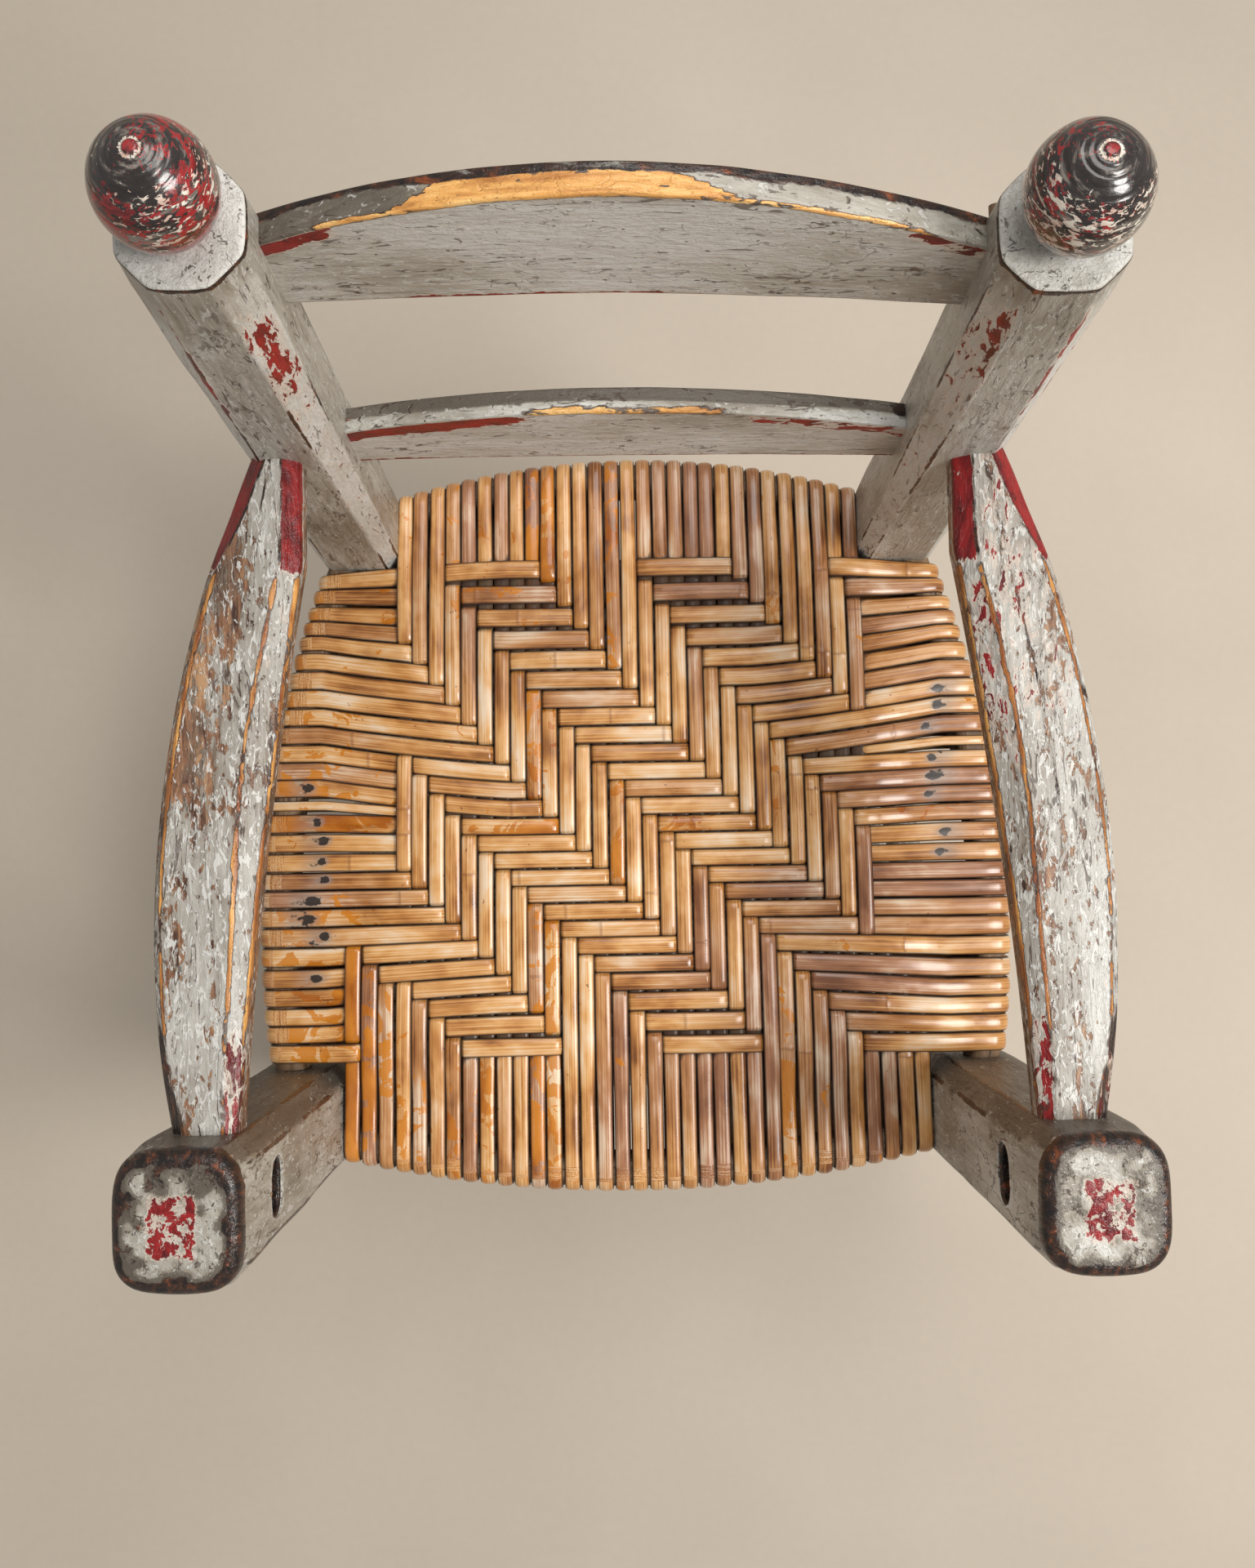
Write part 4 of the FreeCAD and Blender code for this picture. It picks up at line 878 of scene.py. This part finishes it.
def top_slat():
    seed = SEEDS["top_slat"]
    piece, wide, deep, drop, rise, grain = slat("top_slat", 34 * MM, 5.5 * MM, 3 * MM, seed)
    on_top = ease(drop, 2.0 * MM, 0.9 * MM)
    patchy = rough(grain, (16, 40, 40), seed)
    middle = ease(wide, -0.64, -0.46) * ease(wide, 0.34, 0.12)
    reach = (-3.7 + 6.0 * middle) * MM
    honey = ease(deep, reach + 0.8 * MM, reach - 0.6 * MM) * ease(drop, 2.4 * MM, 1.2 * MM)
    back = ease(deep, (1.2 - 0.8 * middle) * MM, (3.4 - 1.2 * middle) * MM) * on_top
    below = ease(drop, 7.4 * MM, 6.0 * MM) * ease(drop, 0.6 * MM, 1.6 * MM) * ease(deep, -3 * MM, -4 * MM)
    ends = ease(np.abs(wide), 0.86, 1.0)
    left, right = ease(wide, -0.4, -0.6), ease(wide, 0.2, 0.34)
    paint_piece(
        piece, frame_look, "frame_paint", "top_slat", grain, seed,
        red=below * (0.8 * ease(wide, -0.72, -0.84) + 0.53 * ease(wide, 0.66, 0.84))
        + 0.62 * ease(rise, 2.4 * MM, 1.4 * MM) * ease(wide, 0.5, 0.1) * ease(wide, -0.8, -0.6),
        bare=(0.56 + 0.12 * middle) * honey * ease(np.abs(wide), 0.9, 0.8),
        dark=0.6 * back + 0.2 * ends + on_top * (0.12 * left + (0.2 + 0.24 * patchy) * right),
        pale=(0.16 + 0.75 * patchy) * (1 - on_top) - on_top * (0.42 * left + 0.1 * right) - 0.1 * ends,
    )


def lower_slat():
    seed = SEEDS["lower_slat"]
    piece, wide, deep, drop, rise, grain = slat("lower_slat", 29 * MM, 1.5 * MM, 1.2 * MM, seed)
    on_top = ease(drop, 2.0 * MM, 0.9 * MM)
    honey = ease(deep, -1.4 * MM, -2.8 * MM) * ease(drop, 2.6 * MM, 1.4 * MM) * ease(np.abs(wide), 0.5, 0.3)
    below = ease(drop, 9.4 * MM, 8.0 * MM) * ease(drop, 0.6 * MM, 1.6 * MM) * ease(deep, -3 * MM, -4 * MM)
    # The rear strip of the top is darkened: painted shade on the top's rear slope
    back = ease(deep, -1.1 * MM, 0.3 * MM) * on_top * (1 - 0.5 * ease(wide, -0.5, -0.8))
    patchy = rough(grain, (16, 40, 40), seed)
    ends = ease(np.abs(wide), 0.88, 1.0)
    paint_piece(
        piece, frame_look, "frame_paint", "lower_slat", grain, seed,
        red=below * (0.85 * ease(wide, -0.28, -0.44) + 0.57 * ease(wide, 0.36, 0.5))
        + 0.6 * ease(rise, 2.0 * MM, 1.2 * MM) * ease(patchy, -0.5, 0.1),
        bare=0.54 * honey,
        dark=0.12 * back + 0.34 * ends * on_top,
        pale=0.13 + 0.6 * patchy + 0.04 * on_top - 1.0 * back - 0.1 * ends,
    )


top_slat()
lower_slat()


# Rungs between the legs, thicker in the middle
RUNG_STATIONS, RUNG_AROUND = 64, 28
RUNG_LET_IN = 8 * MM
RUNG_END, RUNG_SWELL = 6.5 * MM, 2.4 * MM


def rung(name, start, end, seed):
    start, end = np.array(start), np.array(end)
    along = (end - start) / np.linalg.norm(end - start)
    start, end = start - along * RUNG_LET_IN, end + along * RUNG_LET_IN
    length = np.linalg.norm(end - start)
    aside = np.cross((0, 0, 1), along)
    upward = np.cross(along, aside)
    share = np.linspace(0, 1, RUNG_STATIONS)
    turn = np.linspace(0, 2 * math.pi, RUNG_AROUND, endpoint=False)
    radius = RUNG_END + RUNG_SWELL * np.sin(math.pi * share)
    shape = coords((share * length)[:, None], np.cos(turn), np.sin(turn)).reshape(-1, 3)
    radius = np.repeat(radius, RUNG_AROUND) + 0.35 * MM * rough(shape, (30, 1.6, 1.6), seed)
    points = start + shape[:, :1] * along + radius[:, None] * (shape[:, 1:2] * aside + shape[:, 2:] * upward)
    piece = skin(name + "_wood", points.reshape(RUNG_STATIONS, RUNG_AROUND, 3))
    patchy = rough(shape, (25, 1.2, 1.2), seed)
    grain = coords(shape[:, 0], radius * shape[:, 1], radius * shape[:, 2])
    paint_piece(
        piece, rung_look, "stretcher_paint", name, grain, seed,
        red=0.24 + 0.14 * patchy, bare=0.12 - 0.18 * patchy, dark=0.08, pale=0.05 * patchy,
    )


CROSS_RUNG_HEIGHT = 105 * MM
LOW_RUNG_HEIGHT, HIGH_RUNG_HEIGHT = 70 * MM, 140 * MM
rear_x, rear_y = rear_axis(np.array(CROSS_RUNG_HEIGHT))
cross_rungs = (("front", FRONT_X - FRONT_HALF[0], FRONT_Y), ("rear", rear_x - REAR_HALF, rear_y))
for seed, (end_name, reach, deep) in enumerate(cross_rungs, SEEDS["cross_rung"]):
    rung(f"stretcher_{end_name}", (-reach, deep, CROSS_RUNG_HEIGHT), (reach, deep, CROSS_RUNG_HEIGHT), seed)
for seed, (side_name, side) in enumerate(SIDES, SEEDS["side_rung"]):
    for level, height in (("low", LOW_RUNG_HEIGHT), ("high", HIGH_RUNG_HEIGHT)):
        rear_x, rear_y = rear_axis(np.array(height))
        near = (side * FRONT_X, FRONT_Y + FRONT_HALF[1], height)
        far = (side * rear_x, rear_y - REAR_HALF, height)
        rung(f"stretcher_{side_name}_{level}", near, far, seed + round(height / MM))

# Rails and pins keep their solids and get wood materials
for node in ("seat_rail_front", "seat_rail_rear"):
    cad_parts[node].data.materials[0] = cross_rail_look
for node in ("seat_rail_left", "seat_rail_right"):
    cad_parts[node].data.materials[0] = side_rail_look
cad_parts["slat_pins"].data.materials[0] = pin_look


# Seat of split cane, one strand at a time, in a twill over six and under six
TWILL_FLOAT, TWILL_START = 6, 1
COLUMNS, HOOKS, ROWS = 35, 3, 26
REAR_PITCH, FRONT_PITCH = 7.36 * MM, 7.7 * MM
ROW_PITCH, ROW_WIDTH = 8.68 * MM, 8.5 * MM
ROW_MIDDLE, ROW_SPREAD, ROW_LEAN, ROW_EDGE = -1.1 * MM, 101 * MM, 5.1 * MM, 8.7 * MM
BEND_START, BEND_RUN, REAR_BEND, FRONT_BEND = 55 * MM, 74 * MM, 8.8 * MM, 4.2 * MM
BEND_POWER, BEND_LIMIT = 1.3, 1.25
FILLER_ROWS = {-1: 12.5, 1: 15.5}
FLOAT_BULGE = 0.28
STRAND_FILL = 0.962
STRAND_HEIGHT, STRAND_LIFT = 2.2 * MM, 2.25 * MM
rail_low, rail_high = box("seat_rail_front")
RAIL_TOP, RAIL_BASE = rail_high[2] + 0.1 * MM, rail_low[2] - 0.1 * MM
RAIL_ROUND, ARC_STEPS, WALL_STEPS = 5.2 * MM, 7, 4
FRONT_CHORD_Y, FRONT_CHORD_HALF, FRONT_RAIL_BOW = -0.1536, 0.140, 17.5 * MM
REAR_CHORD_Y, REAR_CHORD_HALF, REAR_RAIL_BOW = 0.14735, 0.1119, 17 * MM
SIDE_FRONT, SIDE_REAR, SIDE_RAIL_BOW = (0.1661, -0.120), (0.1395, 0.12075), 16.1 * MM
SECTION_TURN = np.array([-1, -1, -0.93, -0.76, -0.45, 0, 0.45, 0.76, 0.93, 1, 1, 0.5, -0.5])
SECTION_ROUND = np.concatenate([[0], 1 - 0.5 * np.abs(SECTION_TURN[1:10]) ** 3.4, [0, 0, 0]])
# A strand eases up over some pitches from a rail, and dives within a part of one at a crossing
RAIL_EASE, DIVE_NEAR, DIVE_FAR = 3.2, 0.06, 0.2
HOOK_LEAST, HOOK_MOST = 3, 8
RUN_STEP, SPOT_STEPS = 4.5 * MM, np.array([-2.4, -1.2, -0.4, 0.4, 1.2, 2.4]) * MM
# A place that is far from every joint, and the least slope of a path that is not on a rail's wall
NO_JOINT, WALL_SLOPE = 9.0, 0.01
JOINT_REACH, WANDER = 0.9 * MM, 0.22 * MM
draw = np.random.default_rng(SEEDS["draws"])


def sagitta(place, half, bow):
    """How far an arc over a chord stands out at a place along the chord."""
    radius = (half**2 + bow**2) / (2 * bow)
    return np.sqrt(radius**2 - np.square(place)) - (radius - bow)


def seat_front(across):
    return FRONT_CHORD_Y - sagitta(across, FRONT_CHORD_HALF, FRONT_RAIL_BOW)


def seat_rear(across):
    return REAR_CHORD_Y + sagitta(across, REAR_CHORD_HALF, REAR_RAIL_BOW)


def seat_side(deep):
    share = (deep - SIDE_FRONT[1]) / (SIDE_REAR[1] - SIDE_FRONT[1])
    return bowed(share, SIDE_FRONT[0], SIDE_REAR[0], SIDE_RAIL_BOW)


def column_pitch(deep):
    """Columns spread a little from the rear to the front."""
    share = (seat_rear(0) - deep) / (seat_rear(0) - seat_front(0))
    return REAR_PITCH + (FRONT_PITCH - REAR_PITCH) * share


def column_x(column, deep):
    return (column - (COLUMNS - 1) / 2) * column_pitch(deep)


def row_share(row):
    return 2 * row / (ROWS - 1) - 1


def row_bend(row, side):
    """How far a row bends back at a side rail: most behind the filler strand. Front rows bend forward."""
    share = row_share(row)
    behind = 0.3 + 0.7 * ease(row, FILLER_ROWS[side] - 0.5, FILLER_ROWS[side] + 0.5)
    rear = ease(share, 1.0, 0.62) * ease(share, -0.3, 0.0) * behind - 0.34 * ease(share, 0.92, 1.0)
    return REAR_BEND * rear - FRONT_BEND * hill(share, -0.76, 0.24)


def row_y(row, across):
    """The middle line of a row. Rows lie closer in the middle of the seat, and fan out towards the sides."""
    share = row_share(row)
    level = ROW_MIDDLE + ROW_SPREAD * share + ROW_LEAN * share**2 + ROW_EDGE * share**5
    across = np.asarray(across)
    run = np.maximum(np.abs(across) - BEND_START, 0) / BEND_RUN
    run = np.minimum(run**BEND_POWER, BEND_LIMIT)
    return level + run * np.where(across < 0, row_bend(row, -1), row_bend(row, 1))


def row_width(row, across):
    """A strand's width, less where its neighbours press."""
    here = row_y(row, across)
    gaps = [np.abs(row_y(other, across) - here) for other in (row - 1, row + 1) if 0 <= other < ROWS]
    return np.minimum(ROW_WIDTH, STRAND_FILL * np.min(gaps, axis=0))


def is_hook(column):
    return column < HOOKS or column >= COLUMNS - HOOKS


def twill_is_over(column, row):
    return (column + row - TWILL_START) % (2 * TWILL_FLOAT) < TWILL_FLOAT


def hook_rows(column):
    """How many rows a hook strand crosses before it ends under the last of them."""
    floats = [twill_is_over(column, row) for row in range(ROWS)]
    outer = min(column, COLUMNS - 1 - column)
    count = 2 + floats[2:].index(False) if floats[1] or floats[2] else 4 + outer
    return min(max(count, HOOK_LEAST), HOOK_MOST)


def warp_is_over(column, row):
    return twill_is_over(column, row) and not (is_hook(column) and row == hook_rows(column) - 1)


def lifts(crossings, overs, pitch):
    """Where a strand starts and ends each rise or fall, with its sign. It is gentle towards the rails."""
    found = []
    if overs[0]:
        found.append((crossings[0] - RAIL_EASE * pitch, crossings[0] - 0.5 * pitch, 1))
    for place in range(1, len(overs)):
        middle = (crossings[place - 1] + crossings[place]) / 2
        if overs[place] and not overs[place - 1]:
            found.append((middle - DIVE_NEAR * pitch, middle + DIVE_FAR * pitch, 1))
        elif overs[place - 1] and not overs[place]:
            found.append((middle - DIVE_FAR * pitch, middle + DIVE_NEAR * pitch, -1))
    if overs[-1]:
        found.append((crossings[-1] + 0.5 * pitch, crossings[-1] + RAIL_EASE * pitch, -1))
    return found


def run_places(start, end, moves, spots):
    """Places along a straight run, close together where the strand dives and at a joint or stain."""
    places = [np.linspace(start, end, max(int((end - start) / RUN_STEP), 3))]
    places += [np.linspace(low, high, 5) for low, high, _ in moves]
    places += [spot + SPOT_STEPS for spot in spots]
    found = np.unique(np.round(np.concatenate(places), 5))
    return found[(found >= start) & (found <= end)]


def lift_at(places, moves):
    """How high a strand stands, with each run over its neighbours a little arched."""
    total = np.zeros(len(places))
    for low, high, sign in moves:
        total += sign * ease(places, low, high)
    for rise, fall in zip(moves[::2], moves[1::2]):
        share = np.clip((places - rise[1]) / (fall[0] - rise[1]), 0, 1)
        total += FLOAT_BULGE * 4 * share * (1 - share)
    return total


def rail_bend(corner, swing, level):
    """The part of a path that goes round the outside of a rail."""
    flat, slope = np.cos(swing), np.sin(swing)
    height = level + RAIL_ROUND * slope * (np.abs(slope) > WALL_SLOPE)
    return np.broadcast_arrays(corner + RAIL_ROUND * flat, height, flat, slope, 0.0, NO_JOINT)


def loop_path(low, high, moves, spots, tail=None):
    """A strand's path round two rails: place, height, outward direction, lift, and place for its joints.

    With a tail it goes round the first rail only, and ends at the tail on top and underneath."""
    far = high - RAIL_ROUND if tail is None else tail
    top = run_places(low + RAIL_ROUND, far, moves, spots)
    back = run_places(low + RAIL_ROUND, far, moves, [])[::-1]
    arc = np.linspace(0, math.pi / 2, ARC_STEPS)[1:-1]
    wall = np.linspace(RAIL_TOP - RAIL_ROUND, RAIL_BASE + RAIL_ROUND, WALL_STEPS)
    level = np.concatenate([arc * 0 + wall[0], wall, arc * 0 + wall[-1]])
    fall = np.concatenate([math.pi / 2 - arc, wall * 0, -arc])
    climb = np.concatenate([-math.pi / 2 - arc, wall * 0 - math.pi, -math.pi - arc])
    above = np.broadcast_arrays(top, RAIL_TOP, 0.0, 1.0, lift_at(top, moves), top)
    below = np.broadcast_arrays(back, RAIL_BASE, 0.0, -1.0, lift_at(back, moves), NO_JOINT)
    first_rail = rail_bend(low + RAIL_ROUND, climb, level[::-1])
    if tail is None:
        parts = [above, rail_bend(high - RAIL_ROUND, fall, level), below, first_rail]
    else:
        parts = [below, first_rail, above]
    return [np.concatenate(column) for column in zip(*parts)]


def strand(name, node, path, width, seed, aside, follow, tone, closed):
    """One half-round strand along a path. `aside` is its sideways axis and `follow` its sideways line."""
    place, height, out_flat, out_up, lift, joint_place = path
    joint = sum((hill(joint_place, mark, JOINT_REACH) for mark in tone["marks"]), np.zeros(len(place)))
    length = np.concatenate([[0], np.cumsum(np.hypot(np.diff(place), np.diff(height)))])
    breadth = width(place, ease(out_up, 0.2, -0.8)) / 2
    breadth = breadth * (1 + 0.025 * line(place, seed + 3, 30) + 0.04 * joint + tone["breadth"])
    crown = STRAND_HEIGHT * (1 + 0.06 * line(place, seed + 5, 40) + 0.1 * joint)
    tilt = 0.05 * line(place, seed + 7, 16) + tone["tilt"]
    middle = follow(place) + WANDER * line(place, seed, 18)
    turn = SECTION_TURN * breadth[:, None]
    rise = SECTION_ROUND * crown[:, None] + (lift * STRAND_LIFT)[:, None]
    rise = rise + turn * tilt[:, None] * out_up[:, None]
    along = place[:, None] + rise * out_flat[:, None]
    across = middle[:, None] + turn
    upward = height[:, None] + rise * out_up[:, None]
    rings = coords(across, along, upward) if aside == 0 else coords(along, across, upward)
    piece = skin(name, rings, closed)
    points, around = rings.reshape(-1, 3), len(SECTION_TURN)
    cane = coords(np.repeat(length, around), turn.ravel(), seed * 0.37)
    set_field(piece.data, "cane", cane)
    first, last = tone["woven"]
    # Under-runs inside the weave and the strand's sides get a high edge value, which the cane look turns
    # dark: painted shade in the gaps, with some dirt
    under = 0.96 * ease(lift, 0.6, 0.1) * ease(place, first - MM, first) * ease(place, last + MM, last)
    edge = np.maximum(np.tile(np.abs(SECTION_TURN), len(place)), np.repeat(under, around))
    set_field(piece.data, "edge", edge)
    shown = points * (1, 1, 0)
    shade = tone["shade"] + 0.3 * rough(shown, 9, 3) + 0.2 * rough(cane, (12, 0, 1), 5) + brown_at(points)
    glaze = tone["varnish"] + varnish_at(points) + 0.2 * rough(cane, (14, 0, 1), 9)
    stain = stain_at(points, tone["stains"])
    set_field(piece.data, "tone", coords(shade, glaze, stain, np.repeat(np.clip(joint, 0, 1), around)))
    finish_piece(piece, cane_look, "cane", node)


# Soft spots of the seat: middle and spread across, middle and spread from front to rear, and strength
VARNISH_SPOTS = (
    (-0.06, 0.06, 0.13, 0.06, 0.36), (-0.09, 0.06, -0.14, 0.04, 0.4), (-0.13, 0.045, -0.095, 0.03, 0.3),
)
BROWN_SPOTS = (
    (0.03, 0.07, 0.14, 0.05, 0.12), (0.11, 0.07, -0.09, 0.08, 0.34), (-0.14, 0.045, -0.095, 0.035, 0.34),
    (-0.09, 0.09, 0.0, 0.1, -0.3),
)


def spots_at(points, spots):
    """The sum of soft spots at each point."""
    across, deep = points[:, 0], points[:, 1]
    return sum(
        strength * hill(across, middle_x, spread_x) * hill(deep, middle_y, spread_y)
        for middle_x, spread_x, middle_y, spread_y, strength in spots
    )


def varnish_at(points):
    """Varnish is left mostly at the rear left, the left edge and the front left."""
    return spots_at(points, VARNISH_SPOTS) + 0.3 * hill(points[:, 0], -0.15, 0.03) - 0.02


def brown_at(points):
    """The rear middle, the front, its right and its left rows are browner, and the middle left is paler."""
    return spots_at(points, BROWN_SPOTS) + 0.1 * ease(points[:, 1], -0.1, -0.14)


def stain_at(points, stains):
    """Black spots with a grey rim that runs to one side."""
    total = np.zeros(len(points))
    for x, y, spread in stains:
        along, aside = points[:, 0] - x, points[:, 1] - y
        total += np.exp(-((along / spread) ** 2) - (aside / (0.6 * spread)) ** 2)
        smear = (along + spread * 2 * np.sign(-x)) / (3.2 * spread)
        total += 0.3 * np.exp(-(smear**2)) * (points[:, 2] > RAIL_TOP - MM)
    return total


def strand_tone(low, high, spread):
    """Chance differences of one strand."""
    return {
        "shade": draw.uniform(0.05, 0.66),
        "stains": [],
        "varnish": draw.choice([-0.1, 0.0, 0.1, 0.4], p=[0.4, 0.3, 0.18, 0.12]),
        "breadth": draw.uniform(-0.02, 0.02),
        "tilt": draw.uniform(-0.06, 0.06),
        "marks": np.sort(draw.uniform(low, high, draw.integers(1, 3))),
        "place": draw.uniform(-spread, spread),
    }


FRONT_GAP, FRONT_GAP_RUN = 0.075, (-0.112, -0.135)
REAR_GAP, REAR_GAP_RUN = 0.04, (0.118, 0.14)


def warp_width(deep, below):
    """Strands are pressed together in the weave and below, and stand a little apart on top of the rails."""
    gap = FRONT_GAP * ease(deep, *FRONT_GAP_RUN) + REAR_GAP * ease(deep, *REAR_GAP_RUN)
    return column_pitch(deep) * (STRAND_FILL - gap * (1 - below))


def warp_strand(column):
    tone = strand_tone(-0.12, 0.12, 0.3 * MM)
    front = float(seat_front(column_x(column, seat_front(0))))
    hook = is_hook(column)
    rows = range(hook_rows(column) if hook else ROWS)
    middle = float(column_x(column, 0))
    crossings = [float(row_y(row, column_x(column, row_y(row, middle)))) for row in rows]
    overs = [warp_is_over(column, row) for row in rows]
    tail = crossings[-1] + 0.3 * ROW_PITCH if hook else None
    tone["woven"] = (crossings[0] - ROW_PITCH / 2, crossings[-1] + ROW_PITCH / 2)
    moves = lifts(crossings, overs, ROW_PITCH)
    path = loop_path(front, float(seat_rear(middle)), moves, tone["marks"], tail)
    strand(
        f"warp_strand_{column:02d}", "seat_warp_splints", path, warp_width, SEEDS["warp"] + column, 0,
        lambda deep: column_x(column, deep) + tone["place"], tone, not hook,
    )


# For each side: where stains lie across the seat, the middle and spread of the stained rows, and their chance
STAINS = ((-1, 0.1455, -0.018, 0.04, 1.5), (1, 0.139, 0.016, 0.03, 1.2))


def weft_strand(row):
    tone = strand_tone(-0.14, 0.14, 0.2 * MM)
    reach = float(seat_side(row_y(row, SIDE_FRONT[0])))
    level = float(row_y(row, 0))
    for side, spot_x, middle, spread, chance in STAINS:
        if draw.uniform() < chance * float(hill(level, middle, spread)):
            x = side * (spot_x + draw.uniform(-4, 4) * MM)
            y = float(row_y(row, x)) + draw.uniform(-1, 1) * MM
            tone["stains"].append((x, y, draw.uniform(1.7, 2.8) * MM))
    columns = [column for column in range(COLUMNS) if not is_hook(column) or row < hook_rows(column)]
    pitch = float(column_pitch(level))
    crossings = [float(column_x(column, level)) for column in columns]
    overs = [not warp_is_over(column, row) for column in columns]
    tone["woven"] = (crossings[0] - pitch / 2, crossings[-1] + pitch / 2)
    spots = [*tone["marks"], *(x for x, _, _ in tone["stains"])]
    path = loop_path(-reach, reach, lifts(crossings, overs, pitch), spots)
    strand(
        f"weft_strand_{row:02d}", "seat_weft_splints", path,
        lambda across, _: row_width(row, across), SEEDS["weft"] + row, 1,
        lambda across: row_y(row, across) + tone["place"], tone, True,
    )


FILLER_WIDTH = 4.4 * MM


def filler(side_name, side):
    """A short strand that fills the gap between two rows at one side, and ends under the first column."""
    tone = strand_tone(-0.13, -0.12, 0.2 * MM)
    row = FILLER_ROWS[side]
    reach = float(seat_side(row_y(row, side * SIDE_FRONT[0])))
    end = float(column_x(HOOKS, row_y(row, 0)))
    tone["woven"] = (end - column_pitch(0) / 2, end + ROW_PITCH)
    path = loop_path(-reach, 0.0, [], [], end)
    path[0], path[2] = -side * path[0], -side * path[2]
    strand(
        f"weft_filler_{side_name}", "seat_weft_splints", path,
        lambda across, _: FILLER_WIDTH + across * 0, SEEDS["filler"] + side, 1,
        lambda across: row_y(row, across), tone, False,
    )


for column in range(COLUMNS):
    warp_strand(column)
for row in range(ROWS):
    weft_strand(row)
for side_name, side in SIDES:
    filler(side_name, side)


# Floor, light and camera
FLOOR_HALF = 4.0
ROOM_STRENGTH = 0.355
BEIGE_LIGHT, BEIGE_DARK = rgb(212, 200, 184), rgb(202, 190, 174)


def floor_look():
    look = Look("floor")
    place = look.node("TexCoord", {}, "Object")
    cloud = look.noise(place, 3.0, 3.0)
    speck = look.noise(place, 160.0, 3.0)
    shade = look.add((cloud, 0.8), (speck, 0.2))
    color = look.ramp(shade, (0.35, BEIGE_DARK), (0.65, BEIGE_LIGHT))
    return look.end(color, look.add((speck, 0.2), offset=0.75), speck, 0.1, 0.3 * MM)


floor_corners = [(x * FLOOR_HALF, y * FLOOR_HALF, 0.0) for x, y in ((-1, -1), (1, -1), (1, 1), (-1, 1))]
floor = new_object("floor", new_mesh("floor", np.array(floor_corners), [[0, 1, 2, 3]]))
floor.data.materials.append(floor_look())

world = bpy.data.worlds.new("soft_room")
bpy.context.scene.world = world
world.use_nodes = True
world.node_tree.nodes["Background"].inputs["Color"].default_value = (1.0, 0.98, 0.95, 1.0)
world.node_tree.nodes["Background"].inputs["Strength"].default_value = ROOM_STRENGTH


def lamp(name, place, aim, size, power, color):
    light = bpy.data.lights.new(name, "AREA")
    light.shape = "DISK"
    light.size = size
    light.energy = power
    light.color = color
    made = new_object(name, light)
    made.location = place
    made.rotation_euler = (Vector(aim) - Vector(place)).to_track_quat("-Z", "Y").to_euler()


lamp("window_light", (0.85, -0.22, 1.45), (0.0, 0.0, 0.25), size=0.6, power=15.6, color=(1.0, 0.97, 0.93))
lamp("rear_light", (0.2, 0.6, 1.5), (0.0, 0.0, 0.2), size=0.8, power=6.0, color=(1.0, 0.98, 0.95))

camera_data = bpy.data.cameras.new("photo_camera")
camera_data.lens = 30.0
camera_data.sensor_width = 36.0
camera_data.clip_start, camera_data.clip_end = 0.02, 50.0
camera = new_object("photo_camera", camera_data)
CAMERA_PLACE = (-0.00005, -0.01645, 0.83972)
CAMERA_YAW, CAMERA_PITCH, CAMERA_ROLL = math.radians(-1.108), math.radians(2.828), math.radians(0.256)
turned = Matrix.Rotation(CAMERA_YAW, 4, "Z") @ Matrix.Rotation(CAMERA_PITCH, 4, "X")
camera.matrix_world = Matrix.Translation(CAMERA_PLACE) @ turned @ Matrix.Rotation(CAMERA_ROLL, 4, "Y")
bpy.context.scene.camera = camera
bpy.context.scene.view_settings.view_transform = "Standard"
